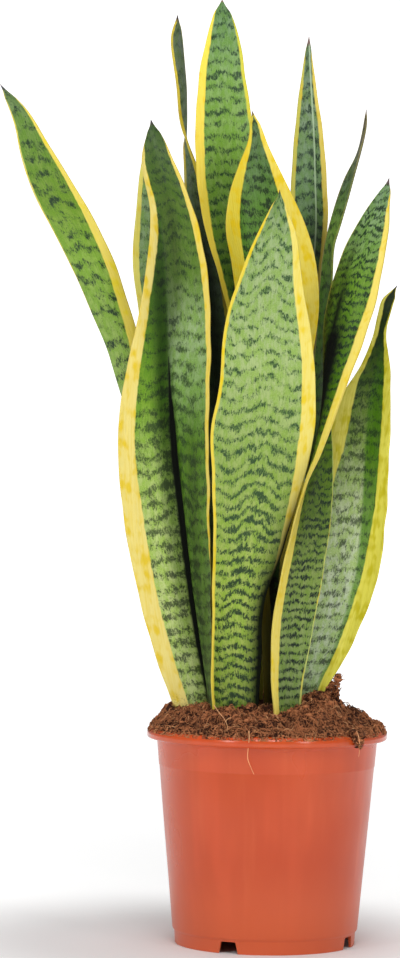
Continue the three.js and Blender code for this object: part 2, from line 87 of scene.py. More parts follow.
LEAVES = [
    {
        "name": "leaf_far_left",
        "fold": (0.5, -0.3, 0.15),
        "left": [
            (148, -55, 21), (177, -59, 22), (241, -74, 26), (312, -89, 27), (386, -107, 26),
            (420, -118, 25), (462, -136, 22), (504, -157, 17), (531, -171, 14), (557, -180, 12),
            (583, -186, 10), (606, -195.5, 6.5),
        ],
        "right": [
            (148, -38, 16), (178, -40, 16), (241, -54, 20), (312, -69, 22), (386, -87, 22),
            (430, -95.3, 20), (473, -109.2, 18), (504, -123, 14), (534, -141, 11), (562, -159, 9),
            (589, -176, 7), (606, -194, 5.5),
        ],
        "left_margin": [(150, 0), (430, 0), (470, 0.6), (520, 1.2), (580, 1.2), (604, 0.4)],
        "right_margin": [
            (150, 4.5), (380, 6), (450, 7.4), (505, 6.2), (540, 3.6), (575, 2.4), (592, 1.2),
            (600, -0.4),
        ],
        "greens": [
            (0.0, (104, 122, 92)), (0.42, (118, 138, 84)), (0.55, (138, 166, 82)),
            (0.74, (124, 158, 58)), (0.82, (108, 140, 44)), (0.94, (102, 134, 60)),
            (1.0, (96, 116, 82)),
        ],
        "band": (34, 66, 44),
        "pale": [(226, 214, 120), (228, 208, 96)],
        "deep": (226, 206, 40),
        "spacing": (12, 12, 12),
        "chevron": 3,
        "cover": [(0, 0.05, 0.05, 0.05), (0.5, 0.1, 0.02, 0.06), (1, 0.05, 0.0, 0.05)],
        "blotch": 0.75,
        "strength": 0.9,
        "yellow": 0.3,
        "tip": (7, (62, 62, 64)),
    },
    {
        "name": "leaf_front_left",
        "fold": (0.6, 0.45, 0.2),
        "ridge": (0.58, 0.49, 0.02),
        "bend": 1.35,
        "crease": [
            (150, 1.2), (180, 1.5), (211, 2), (250, 2), (290, 2.4), (345, 2.4), (366, 2.2),
            (384, 1), (400, 0.6), (415, 0),
        ],
        "hollow": [
            (170, 0), (230, 0.5), (330, 0.75), (370, 0.86), (425, 0.86), (475, 0.7), (520, 0.3),
            (555, 0),
        ],
        "left": [
            (148, -62, -9), (169, -67, -8), (195, -77, -10), (257, -94.7, -14), (334, -107, -18),
            (383, -106, -20), (430, -97, -22), (477, -89, -24), (513, -87, -24), (550, -93, -24),
            (571, -89.5, -24), (580, -88, -24),
        ],
        "right": [
            (148, -42, -34), (175, -39, -38), (245, -41, -42), (321, -43, -46), (384, -44, -46),
            (433, -43.3, -44), (483, -48, -40), (524, -59, -34), (558, -74, -28), (573, -82, -25),
            (580, -86.5, -24.5),
        ],
        "left_margin": [
            (150, 11), (174, 11.5), (205, 11.8), (240, 11.8), (275, 12.5), (310, 12.5), (345, 11),
            (385, 10), (420, 7.5), (455, 5.4), (500, 5), (540, 3), (556, 1.4), (568, -0.5),
        ],
        "right_margin": [
            (150, -0.5), (262, -0.5), (296, 2.4), (340, 3), (400, 3.4), (440, 4.2), (470, 5),
            (510, 4.5), (540, 2.8), (556, 1.4), (570, -0.5),
        ],
        "greens": [
            (0.0, (160, 178, 106)), (0.2, (176, 193, 118)), (0.42, (158, 181, 98)),
            (0.54, (112, 150, 38)), (0.66, (84, 126, 8)), (0.8, (74, 114, 16)),
            (0.9, (82, 124, 40)), (1.0, (62, 92, 36)),
        ],
        "right_greens": [
            (0.0, (100, 126, 68)), (0.3, (92, 128, 46)), (0.48, (84, 122, 30)),
            (0.56, (120, 152, 86)), (0.66, (140, 166, 112)), (0.75, (92, 120, 48)),
            (0.88, (72, 100, 26)), (1.0, (58, 82, 34)),
        ],
        "band": (40, 70, 32),
        "pale": [(230, 212, 122), (226, 204, 100)],
        "deep": (222, 190, 20),
        "spacing": (9, 11, 7),
        "chevron": 7,
        "cover": [
            (0, 0.08, -0.08, -0.1), (0.2, 0.1, -0.18, -0.08), (0.36, 0.08, -0.24, -0.06),
            (0.5, 0.06, -0.24, 0.05), (0.62, 0.16, -0.08, 0.1), (0.72, 0.14, 0.0, 0.12),
            (0.88, 0.02, -0.03, 0.02), (1, 0, 0, 0),
        ],
        "blotch": 0.7,
        "strength": 0.74,
        "yellow": 0.36,
        "tip": (5, (50, 44, 40)),
        "shades": [
            ("front", 470, -0.55, 45, 0.35, 0.3), ("front", 474, -0.14, 58, 0.3, 0.5),
            ("front", 215, 0.75, 75, 0.4, 0.35), ("front", 255, 0.5, 105, 0.22, 0.5),
        ],
    },
    {
        "name": "leaf_small_left",
        "fold": (0.5, 0.25, 0.15),
        "left": [
            (148, -53, 1), (179, -56, 0), (270, -69, 4), (384, -86, 8), (447, -95, 10),
            (479, -99, 12), (513, -98, 14), (552, -94, 16), (577, -88.7, 18),
        ],
        "right": [
            (148, -42, -5), (179, -40, -6), (271, -50, -4), (384, -64, 2), (447, -72, 6),
            (497, -75, 10), (540, -78, 14), (565, -83, 17), (577, -87.3, 18),
        ],
        "left_margin": [
            (150, 3), (420, 3.6), (455, 4.4), (500, 4.4), (540, 3), (565, 1.2), (575, 0.2),
        ],
        "right_margin": [(150, 3.2), (540, 3), (570, 1)],
        "greens": [(0.0, (98, 126, 84)), (1.0, (128, 154, 106))],
        "band": (56, 84, 60),
        "pale": [(216, 208, 104), (232, 214, 108)],
        "deep": (214, 190, 60),
        "spacing": (10, 10, 10),
        "chevron": 3,
        "cover": [(0, 0, 0, 0), (1, 0.03, 0.03, 0.03)],
        "blotch": 0.5,
        "strength": 0.75,
        "yellow": 0.3,
        "tip": (5, (70, 60, 50)),
    },
    {
        "name": "leaf_back_left",
        "fold": (0.5, 0.2, 0.1),
        "left": [
            (148, -38, 39), (176, -40, 40), (312, -46, 44), (384, -54, 46), (456, -59, 48),
            (514, -63, 52), (554, -64, 56), (568, -64.5, 58), (577, -63, 60), (605, -63, 63),
            (632, -65, 63), (650, -67, 61), (662, -69.7, 58.7),
        ],
        "right": [
            (148, -23, 28), (177, -21, 28), (313, -21, 34), (384, -25, 38), (456, -32, 42),
            (514, -44, 46), (556, -56, 50), (568, -61, 51), (577, -65, 52), (590, -68, 52),
            (610, -70, 52), (645, -74, 54), (656, -72, 56), (662, -70.3, 57.4),
        ],
        "left_margin": [(150, 3), (560, 2), (600, 1.8), (650, 0.8)],
        "right_margin": [(150, 3), (520, 3), (560, 2.4), (600, 1.2), (650, 0.6)],
        "greens": [
            (0.0, (70, 92, 60)), (0.5, (84, 110, 82)), (0.8, (104, 122, 98)),
            (1.0, (96, 108, 92)),
        ],
        "band": (56, 76, 56),
        "pale": [(196, 186, 100), (226, 204, 60)],
        "deep": (196, 166, 40),
        "spacing": (10, 10, 10),
        "chevron": 3,
        "cover": [(0, 0, 0, 0), (1, 0.06, 0.06, 0.06)],
        "blotch": 0.5,
        "strength": 0.55,
        "yellow": 0.35,
        "tip": (6, (70, 58, 56)),
        "shades": [("front", 432, 0.1, 105, 1.2, 0.96), ("front", 270, 0, 120, 3, 0.6)],
    },
    {
        "name": "leaf_tall_centre",
        "fold": (0.55, 0.3, 0.2),
        "left": [
            (148, -19, 14), (178, -21, 14), (313, -24, 18), (399, -28, 22), (449, -32, 24),
            (478, -40, 26), (506, -48, 28), (536, -54, 30), (570, -56, 32), (603, -55, 34),
            (635, -51, 36), (659, -45, 38), (671, -40.2, 39),
        ],
        "right": [
            (148, -5, 14), (178, -3, 14), (313, 1, 18), (399, 0, 22), (449, -2, 24),
            (499, -5, 26), (542, -10, 30), (581, -15, 32), (617, -21, 34), (645, -26, 36),
            (664, -33, 38), (671, -35.8, 39),
        ],
        "left_margin": [
            (150, 2), (440, 2.8), (475, 3.6), (500, 4.6), (525, 6.4), (560, 6.6), (600, 5.8),
            (640, 3.8), (658, 1.6), (667, -0.4),
        ],
        "right_margin": [(150, 3), (560, 2.8), (620, 2.4), (650, 1.4), (664, -0.4)],
        "greens": [
            (0.0, (70, 96, 44)), (0.5, (82, 112, 50)), (0.66, (96, 130, 50)),
            (0.8, (126, 164, 72)), (0.9, (126, 160, 92)), (0.96, (110, 144, 92)),
            (1.0, (92, 124, 80)),
        ],
        "band": (40, 76, 50),
        "pale": [(252, 226, 84), (208, 206, 66)],
        "deep": (246, 210, 40),
        "spacing": (9, 9, 9),
        "chevron": 3,
        "cover": [(0, 0, 0, 0), (0.6, -0.02, 0, 0), (1, 0.05, 0.05, 0.05)],
        "blotch": 0.45,
        "strength": 0.85,
        "yellow": 0.25,
        "tip": (2, (120, 90, 66)),
        "shades": [
            ("front", 350, -0.2, 90, 0.8, 0.85), ("front", 220, 0, 110, 3, 0.7),
            ("front", 455, 0.25, 60, 0.5, 0.3),
        ],
    },
    {
        "name": "leaf_yellow_centre",
        "fold": (0.5, 0.3, 0.2),
        "left": [
            (148, -2, -14), (180, -3, -14), (272, -10, -16), (370, -17, -16), (441, -24, -16),
            (482, -30, -14), (505, -34, -12), (528, -32, -8), (550, -25, -4), (568, -19, 0),
            (589, -16.7, 3.5),
        ],
        "right": [
            (148, 12, -10), (180, 14, -10), (272, 19, -10), (371, 27, -8), (415, 29, -6),
            (452, 33, -4), (484, 30, -2), (512, 21, 0), (538, 9, 2), (564, -4, 3), (581, -11, 4),
            (589, -15.3, 4),
        ],
        "left_margin": [
            (150, 9), (440, 10), (485, 10.5), (505, 11.3), (520, 10), (535, 8.5), (550, 5.6),
            (560, 4.2), (572, 2.2), (586, 0.8),
        ],
        "right_margin": [
            (150, 10), (400, 12), (450, 13), (510, 11), (530, 9), (540, 7.5), (555, 5),
            (570, 3.2), (586, 1),
        ],
        "greens": [
            (0.0, (56, 88, 26)), (0.6, (80, 128, 30)), (0.85, (86, 126, 44)),
            (0.92, (88, 118, 70)), (1.0, (84, 108, 70)),
        ],
        "band": (28, 58, 16),
        "pale": [(226, 206, 66), (236, 214, 92)],
        "deep": (230, 196, 0),
        "spacing": (8, 8, 8),
        "chevron": 2,
        "cover": [(0, -0.12, -0.12, -0.12), (0.85, -0.1, -0.1, -0.1), (1, 0.1, 0.1, 0.1)],
        "blotch": 0.75,
        "strength": 0.92,
        "yellow": 0.38,
        "tip": (4, (84, 62, 40)),
        "shades": [("front", 230, -0.15, 120, 0.62, 0.97), ("front", 190, 0, 105, 3, 0.99)],
    },
    {
        "name": "leaf_front_centre",
        "fold": (0.5, 0.22, 0.15),
        "left": [
            (146, -36, -44), (170, -39, -45), (273, -40, -52), (329, -41, -56), (365, -43, -58),
            (388, -38, -58), (437, -34, -58), (470, -24, -56), (500, -12, -54), (516, -4, -53),
            (526, 1, -52), (530, 2.2, -52),
        ],
        "right": [
            (146, -10, -38), (170, -7, -38), (203, -6, -38), (246, -3, -40), (282, 9, -44),
            (325, 21, -50), (363, 29, -54), (385, 30, -56), (415, 28, -57), (466, 20, -56),
            (497, 15, -54), (517, 8, -53), (530, 3.8, -52),
        ],
        "left_margin": [(150, 2.0), (400, 2.2), (480, 2.4), (505, 2), (520, 0.6), (527, -0.5)],
        "right_margin": [
            (150, 0), (250, 0.3), (270, 2), (285, 3.4), (305, 5), (320, 6.2), (335, 7.8),
            (350, 9.6), (370, 10.2), (385, 10), (410, 8.8), (440, 8.2), (460, 7), (485, 5),
            (505, 3), (518, 1), (526, -0.5),
        ],
        "greens": [
            (0.0, (120, 140, 54)), (0.25, (158, 180, 78)), (0.5, (140, 163, 84)),
            (0.7, (154, 176, 112)), (0.9, (144, 166, 112)), (1.0, (104, 128, 84)),
        ],
        "band": (62, 104, 56),
        "pale": [(228, 206, 74), (230, 214, 112)],
        "deep": (226, 196, 10),
        "spacing": (6.2, 9.2, 9.8),
        "chevron": 10,
        "cover": [
            (0, -0.18, -0.18, -0.12), (0.22, -0.05, -0.12, 0.0), (0.34, 0.06, -0.22, 0.06),
            (0.45, 0.12, -0.18, 0.14), (0.54, 0.1, 0.0, 0.12), (0.64, 0.06, 0.14, 0.06),
            (0.78, 0.08, 0.16, 0.04), (1, 0, 0.05, 0),
        ],
        "blotch": 0.4,
        "strength": 0.95,
        "yellow": 0.36,
        "tip": (3, (70, 60, 54)),
        "shades": [
            ("front", 190, 1.15, 118, 0.52, 1.3), ("front", 262, 1.1, 60, 0.26, 1.35),
            ("front", 304, 1.1, 40, 0.3, 0.4),
        ],
    },
    {
        "name": "leaf_back_right",
        "fold": (0.55, 0.35, 0.2),
        "ridge": (0.72, 0.72, 0.66),
        "bend": 1.3,
        "left": [
            (148, 14, 40), (177, 13, 40), (313, 13, 42), (421, 13, 46), (486, 13, 48),
            (541, 13, 50), (574, 15, 52), (602, 18, 54), (626, 21, 55), (648, 24.3, 56),
        ],
        "right": [
            (148, 26, 40), (177, 27, 40), (313, 30, 42), (421, 34, 46), (477, 37, 48),
            (514, 40, 50), (541, 39, 52), (577, 36, 53), (610, 31, 54), (637, 27, 56),
            (648, 25.7, 56),
        ],
        "left_margin": [(150, 3.2), (560, 3.2), (610, 2.2), (630, 1), (640, -0.3)],
        "right_margin": [(150, 3.4), (560, 3.4), (610, 2.4), (630, 1), (640, -0.3)],
        "greens": [
            (0.0, (50, 76, 32)), (0.62, (72, 104, 48)), (0.8, (108, 140, 94)),
            (0.9, (118, 140, 108)), (1.0, (84, 108, 84)),
        ],
        "band": (42, 68, 56),
        "pale": [(196, 190, 84), (226, 204, 96)],
        "deep": (212, 186, 50),
        "spacing": (10, 10, 10),
        "chevron": 4,
        "cover": [(0, -0.1, -0.1, -0.1), (0.8, -0.08, -0.04, -0.1), (1, 0, 0, 0)],
        "blotch": 0.5,
        "strength": 0.9,
        "yellow": 0.35,
        "ridge_line": 0.7,
        "tip": (9, (118, 92, 84)),
        "shades": [("front", 420, 0, 75, 3, 0.9), ("front", 478, 0.55, 45, 0.8, 0.75)],
    },
    {
        "name": "leaf_narrow_right",
        "fold": (0.5, 0.3, 0.2),
        "left": [
            (148, 24, 22), (178, 23, 22), (299, 26, 26), (385, 29, 26), (428, 32, 24),
            (464, 34, 25), (485, 36, 27), (507, 40, 30), (543, 51, 34), (562, 60, 36),
            (579, 64, 37), (594, 66, 36.8),
        ],
        "right": [
            (148, 34, 12), (179, 35, 12), (300, 38, 10), (385, 39, 8), (428, 40, 9),
            (470, 42, 12), (495, 43, 14), (508, 47, 16), (540, 56, 22), (562, 61.5, 28),
            (581, 66, 33), (594, 66.4, 35.4),
        ],
        "left_margin": [(150, 1.6), (560, 1), (590, 0.3)],
        "right_margin": [(150, -0.5), (640, -0.5)],
        "greens": [
            (0.0, (60, 96, 36)), (0.7, (76, 116, 44)), (0.8, (108, 142, 60)),
            (0.88, (84, 106, 76)), (1.0, (110, 92, 84)),
        ],
        "band": (34, 58, 28),
        "pale": [(150, 136, 84), (138, 142, 98)],
        "deep": (140, 138, 84),
        "spacing": (9, 9, 9),
        "chevron": 2,
        "cover": [(0, -0.05, -0.05, -0.05), (1, 0, 0, 0)],
        "blotch": 0.6,
        "strength": 0.8,
        "yellow": 0.4,
        "tip": (3, (96, 74, 66)),
        "shades": [("front", 260, 0, 95, 3, 0.95), ("front", 395, 0.6, 70, 0.8, 0.4)],
    },
    {
        "name": "leaf_twisted_right",
        "fold": (0.1, 0.4, 0.15),
        "left": [
            (142, 6.5, -52), (164, 3.8, -54), (204, 1.2, -54), (230, 2.1, -56), (272, 9, -60),
            (314, 19.2, -64), (330, 25, -65.4), (345, 32, -66), (388, 48, -62), (444, 68.3, -51),
            (476, 75.3, -44), (498, 79, -38), (525, 81, -32), (541, 80.6, -29.6),
        ],
        "right": [
            (142, 22, -36), (181, 23, -34), (212, 28, -34), (252, 35, -34), (305, 42, -34),
            (336, 43, -32), (371, 41, -28), (420, 36, -22), (452, 38, -20), (478, 45, -20),
            (505, 56, -24), (525, 69, -28), (537, 77, -30), (541, 79.2, -30.4),
        ],
        "left_margin": [
            (142, 4), (178, 5), (205, 7.6), (250, 9), (275, 10.6), (300, 10.4), (325, 8.4),
            (345, 5.4), (390, 4.6), (430, 5.3), (450, 4.8), (475, 3.6), (490, 3.6), (515, 2.4),
            (528, 0.6), (536, -0.5),
        ],
        "right_margin": [
            (150, 3.2), (175, 2.2), (210, 1.1), (300, 0.7), (380, 1.2), (430, 1.8), (480, 1.5),
            (510, 0.9), (536, -0.4),
        ],
        "greens": [
            (0.0, (122, 144, 84)), (0.3, (118, 138, 68)), (0.46, (90, 120, 28)),
            (0.64, (76, 116, 6)), (0.82, (102, 138, 42)), (0.93, (116, 146, 94)),
            (1.0, (104, 132, 100)),
        ],
        "band": (40, 72, 36),
        "pale": [(232, 212, 100), (184, 198, 108)],
        "deep": (226, 196, 24),
        "spacing": (6.2, 6.2, 6.2),
        "chevron": 2,
        "cover": [
            (0, -0.04, -0.04, -0.04), (0.35, -0.06, -0.06, -0.02), (0.6, -0.12, -0.1, -0.08),
            (1, -0.02, -0.02, 0),
        ],
        "blotch": 0.4,
        "strength": 1.0,
        "yellow": 0.3,
        "tip": (6, (92, 74, 74)),
        "shades": [
            ("back", 470, 0.36, 26, 0.16, 0.6), ("back", 440, 0.2, 32, 0.2, 0.98),
            ("back", 398, 0.12, 42, 0.5, 1.5), ("back", 430, 0.75, 60, 0.45, 0.5),
            ("front", 330, 0.0, 50, 0.9, 0.4),
        ],
    },
    {
        "name": "leaf_far_right",
        "fold": (0.5, 0.25, 0.15),
        "ridge": (0.62, 0.63, 0.48),
        "left": [
            (148, 24, -14), (181, 22, -14), (244, 27, -14), (315, 33, -14), (350, 38, -13),
            (389, 50, -10), (413, 64, -8), (430, 70.8, -7), (445, 74, -6), (458, 78.3, -5),
            (467, 87.4, -5),
        ],
        "right": [
            (148, 37, -16), (180, 40, -16), (200, 52, -18), (228, 65, -22), (259, 75, -26),
            (306, 81, -28), (350, 83, -24), (393, 83.4, -16), (410, 83, -13), (420, 81.9, -12),
            (428, 80.4, -10), (436, 80.6, -9), (446, 83.4, -8), (454, 85.6, -6), (467, 88.6, -5),
        ],
        "left_margin": [
            (150, -0.5), (240, -0.5), (300, 6), (350, 13), (370, 12), (388, 9), (400, 5),
            (412, 3.4), (430, 3.2), (446, 3.4), (458, 2), (464, 0.4),
        ],
        "right_margin": [
            (150, 4.5), (180, 5), (200, 9), (220, 11), (245, 13), (262, 12.6), (280, 12),
            (310, 9.6), (350, 7.6), (385, 5.6), (415, 4), (430, 1.5), (462, 0.4),
        ],
        "greens": [
            (0.0, (140, 164, 116)), (0.3, (170, 186, 150)), (0.5, (172, 188, 142)),
            (0.66, (126, 148, 80)), (0.8, (70, 96, 34)), (0.9, (30, 46, 16)), (1.0, (30, 36, 18)),
        ],
        "right_greens": [
            (0.0, (120, 148, 90)), (0.4, (106, 142, 62)), (0.58, (84, 126, 26)),
            (0.78, (72, 112, 24)), (0.88, (40, 60, 24)), (1.0, (44, 50, 26)),
        ],
        "band": (36, 60, 38),
        "pale": [(224, 214, 100), (226, 218, 86)],
        "deep": (196, 184, 24),
        "spacing": (9, 9, 9),
        "chevron": 2,
        "cover": [
            (0, -0.02, -0.02, 0.02), (0.4, 0, 0, 0.05), (0.7, -0.14, -0.14, -0.02),
            (1, -0.1, -0.1, -0.1),
        ],
        "blotch": 0.7,
        "strength": 0.72,
        "yellow": 0.4,
        "tip": (4, (50, 40, 30)),
    },
]

# ---- The pot's, soil's and roots' measures, in millimetres from the pot's axis and floor ----

FOOT_RADIUS = 63.6
FOOT_WALL = 1.7
FOOT_HEIGHT = 9.3
FLOOR_THICKNESS = 1.6
WALL = 1.5
WALL_START = (65.5, 11.0)
WALL_TOP = (77.8, 143.0)
STEP_HEIGHT = 126.5
STEP_RISE = 0.4
LIP_UNDERSIDE = 145.3
LIP_TOP = 153.0
LIP_EDGE = LIP_RADIUS / MM
LIP_BULGE = 4.4
LIP_CURL = 1.6
INNER_ROUNDING = 1.8
# The notches' width at the floor and at their top, and their height.
NOTCH = (15.0, 11.0, 8.4)
# The slots' width, length and distance from the axis.
DRAIN_SLOT = (9.0, 10.0, 54.0)
DRAIN_ANGLES = tuple(math.radians(-24.5 + 90 * index) for index in range(4))
# The pot's shading breaks where two faces meet at more than this.
SHARP_ANGLE = math.radians(40)

SOIL_RIM_RADIUS = 82.0
SOIL_RIM_HEIGHT = 155.5
SOIL_MOUND = 13.0
SOIL_SHOULDER = 27.0
SOIL_GAP = 0.3
SOIL_RINGS = 80
SOIL_SIDES = 240

ROOT_THREADS = {
    "root_down_pot": [
        (-14, -81, 157), (-13.9, -85.6, 152), (-14.3, -80.4, 146), (-14.6, -79.3, 138),
        (-12.5, -79.1, 132), (-10.1, -78.8, 126.8),
    ],
    "root_over_soil": [
        (-38, -50, 172), (-35, -57, 168), (-31, -66, 164), (-29, -74, 160), (-29, -79, 156.5),
    ],
    "root_over_lip": [
        (58, -60, 158), (61, -64, 155.5), (62.5, -66, 150), (63, -62, 144), (62.6, -56, 138),
    ],
}
ROOT_RADIUS = 0.32
ROOT_STEPS = 40
FIBRE_STEPS = 7
WAD_FIBRE_STEPS = 6

# The seeds of what lies scattered.
CRUMB_SEED = 11
FIBRE_SEED = 23
WAD_SEED = 5

# Wads of matted fibres: the middle, the reach along each axis and how many fibres.
WADS = [
    ((45.5, -14, 179), (5.6, 4.5, 9), 340),
    ((49.5, -13, 189), (3, 3, 3.4), 70),
    ((61, -60.5, 153), (5, 4.4, 5), 200),
    ((63, -62.5, 147.5), (2.6, 1.8, 3.6), 60),
]

# ---- The leaves' shape ----

# How wide a leaf still is at its very tip, as a share of the width there.
TIP_WIDTH = 0.12
# The crease at which the narrow fold has its full depth.
FULL_SLOT_CREASE = 1.5
# How far apart the patterns of two leaves lie, so that no two are alike.
PATTERN_SHIFT = 700
DARKEST_SHADE = 0.996
# How many waves make up the slow swells of a leaf's faces, and the faint one along its edges.
RIPPLE_WAVES = 7

# ---- The camera and the studio ----

# The photograph's height, the lens's length and how far below the horizon the middle of the
# picture lies, in the photograph's pixels.
PHOTO_HEIGHT = 958
FOCAL_PIXELS = 3675
SIGHT_DROP = 66.3
CAMERA_ROLL = math.radians(-0.7)
SENSOR_WIDTH = 36

FLOOR_RADIUS = 3.2
FLOOR_GLOW = 0.44
BACKDROP_RADIUS = 12.0
BACKDROP_BEND = 3.0
BACKDROP_HEIGHT = 12.0
STUDIO_SIDES = 72
WHITE = (1.0, 1.0, 1.0, 1.0)

# The softboxes' names, angles to the right of the camera in degrees and shares of the power.
SOFTBOXES = (("left_softbox", -38, 1.0), ("right_softbox", 37, 0.63))
SOFTBOX_DISTANCE = 2.4
SOFTBOX_HEIGHT = 1.0
SOFTBOX_SIZE = (0.45, 1.1)
TOP_SPOT, TOP_SIZE = (0.0, 0.1, 2.3), (1.4, 1.4)
FRONT_SPOT, FRONT_SIZE = (0.05, -1.5, 1.9), (0.8, 0.8)
LIGHTS_AIM = (0, 0, 0.33)

# ---- Shared tools ----


def solid(color):
    """A linear colour with full alpha."""
    return (*color[:3], 1.0)


def linear(color):
    """An 0 to 255 screen colour as Blender's linear red, green, blue and alpha."""
    parts = [c / 255 for c in color]
    return solid([c / 12.92 if c <= 0.04045 else ((c + 0.055) / 1.055) ** 2.4 for c in parts])


def tinted(color, share, added=0.0):
    """A linear colour times a share and with something added, up to white."""
    return solid([min(1.0, part * share + added) for part in color[:3]])


def curve(points, places):
    """Values at places on a smooth curve through points, each of them (place, value, ...)."""
    table = np.array(points, float)
    at, values = table[:, 0], table[:, 1:]
    slopes = np.diff(values, axis=0) / np.diff(at)[:, None]
    tangents = np.vstack([slopes[:1], (slopes[:-1] + slopes[1:]) / 2, slopes[-1:]])
    first = np.clip(np.searchsorted(at, places, side="right") - 1, 0, len(at) - 2)
    span = (at[first + 1] - at[first])[:, None]
    t = (np.asarray(places) - at[first])[:, None] / span
    start, end = values[first], values[first + 1]
    bend = (2 * t**3 - 3 * t**2 + 1) * start + (3 * t**2 - 2 * t**3) * end
    bend += (t**3 - 2 * t**2 + t) * span * tangents[first]
    bend += (t**3 - t**2) * span * tangents[first + 1]
    return bend


def straight(points, places):
    """Values at places on straight lines between (place, value) points."""
    at, values = zip(*points)
    return np.interp(places, at, values)


def ripples(u, v, seed):
    """Smooth seeded waves of about 1 high over the flat coordinates u and v."""
    draw = random.Random(seed)
    total = np.zeros(np.broadcast(u, v).shape)
    for _ in range(RIPPLE_WAVES):
        angle, pace = draw.uniform(0, math.tau), draw.uniform(0.5, 1.6)
        shift = draw.uniform(0, math.tau)
        total = total + np.sin(pace * (u * math.cos(angle) + v * math.sin(angle)) + shift)
    return total / math.sqrt(RIPPLE_WAVES)


def in_frame(points):
    """Points in millimetres from the pot's axis, moved to the frame and put in metres."""
    return np.asarray(points, float) * MM + (*POT_AXIS, 0)


def add_object(name, points, faces, material=None):
    """A smooth mesh object from points in metres, linked to the scene."""
    mesh = bpy.data.meshes.new(name)
    mesh.from_pydata(points, [], faces)
    mesh.update()
    mesh.shade_smooth()
    if material is not None:
        mesh.materials.append(material)
    made = bpy.data.objects.new(name, mesh)
    bpy.context.scene.collection.objects.link(made)
    return made


def add_piece(name, points, faces, material, node=None):
    """Adds a piece on the body, in a material that carries the name of its record slot."""
    piece = add_object(name, in_frame(points).tolist(), faces, material)
    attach(piece, "root")
    if node is not None:
        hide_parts(node)
    return piece


def add_values(piece, name, values):
    """Writes a number or a vector for each vertex, which the piece's material reads."""
    values = np.asarray(values, np.float32)
    kind, field = ("FLOAT_VECTOR", "vector") if values.ndim == 3 else ("FLOAT", "value")
    layer = piece.data.attributes.new(name, kind, "POINT")
    layer.data.foreach_set(field, values.ravel())


def grid_faces(rings, around, flip=False):
    """Faces of a closed tube with so many rings of so many vertices."""
    faces = []
    for ring in range(rings - 1):
        low, high = ring * around, (ring + 1) * around
        for a in range(around):
            b = (a + 1) % around
            face = (low + a, low + b, high + b, high + a)
            faces.append(face[::-1] if flip else face)
    return faces


# ---- Materials ----


class Nodes:
    """Adds nodes to a new material. A value or another node's output may go in each input."""

    def __init__(self, name, slot):
        self.material = bpy.data.materials.new(name)
        self.material.use_nodes = True
        self.material["slot"] = slot
        self.tree = self.material.node_tree
        self.shader = self.tree.nodes["Principled BSDF"]

    def add(self, kind, inputs=(), output=0, **settings):
        node = self.tree.nodes.new(kind)
        for key, value in settings.items():
            setattr(node, key, value)
        for key, value in dict(inputs).items():
            self.feed(node.inputs[key], value)
        return node.outputs[output]

    def feed(self, socket, value):
        if isinstance(value, bpy.types.NodeSocket):
            self.tree.links.new(value, socket)
        else:
            socket.default_value = value

    def math(self, operation, a, b=0.0, c=0.0):
        return self.add("ShaderNodeMath", {0: a, 1: b, 2: c}, operation=operation)

    def step(self, value, low, high, to_low=0.0, to_high=1.0):
        """A smooth step from to_low, where the value is low, to to_high, where it is high."""
        inputs = {"Value": value, "From Min": low, "From Max": high}
        inputs |= {"To Min": to_low, "To Max": to_high}
        return self.add("ShaderNodeMapRange", inputs, interpolation_type="SMOOTHSTEP")

    def mix(self, share, a, b, blend="MIX"):
        inputs = {0: share, 6: a, 7: b}
        settings = {"data_type": "RGBA", "blend_type": blend}
        return self.add("ShaderNodeMix", inputs, output=2, **settings)

    def ramp(self, value, stops):
        node = self.tree.nodes.new("ShaderNodeValToRGB")
        self.feed(node.inputs["Fac"], value)
        stripe = node.color_ramp
        stripe.elements[0].position, stripe.elements[1].position = stops[0][0], stops[-1][0]
        for at, _ in stops[1:-1]:
            stripe.elements.new(at)
        for element, (_, color) in zip(stripe.elements, stops):
            element.color = linear(color)
        return node.outputs["Color"]

    def noise(self, vector, scale, detail=2.0, roughness=0.5):
        inputs = {"Vector": vector, "Scale": scale, "Detail": detail, "Roughness": roughness}
        return self.add("ShaderNodeTexNoise", inputs)

    def streaks(self, vector, paces, detail=2.0, roughness=0.5):
        """Noise that has a pace of its own along each axis."""
        inputs = {"Vector": vector, "Scale": paces}
        stretched = self.add("ShaderNodeMapping", inputs, vector_type="POINT")
        return self.noise(stretched, 1.0, detail, roughness)

    def read(self, name, output="Vector"):
        node = self.tree.nodes.new("ShaderNodeAttribute")
        node.attribute_name = name
        return node.outputs[output]

    def parts(self, vector):
        node = self.tree.nodes.new("ShaderNodeSeparateXYZ")
        self.feed(node.inputs[0], vector)
        return node.outputs

    def bump(self, height, distance, strength=1.0, under=None):
        inputs = {"Height": height, "Distance": distance, "Strength": strength}
        if under is not None:
            inputs["Normal"] = under
        return self.add("ShaderNodeBump", inputs)

    def finish(self, **inputs):
        for key, value in inputs.items():
            self.feed(self.shader.inputs[key.replace("_", " ")], value)
        return self.material


# What a leaf's green is multiplied by: where it is grassy or pale, and as painted shade on the
# near side of the fold and deep between the leaves.
GRASSY = (0.78, 0.95, 0.36, 1.0)
PALE = (1.3, 1.22, 1.35, 1.0)
HOLLOW_SHADE = (0.05, 0.12, 0.0, 1.0)
DEEP_SHADE = (0.004, 0.008, 0.0, 1.0)
RIDGE_LINE = linear((184, 206, 168))
DRY_RIM = linear((150, 130, 60))
# The black shade painted at the bottom of a deep fold.
CREASE_SHADE = linear((5, 9, 3))
PEAT_DUST = linear((96, 62, 40))
RIB_SPACING = 1.7
WAX_COAT = 0.14


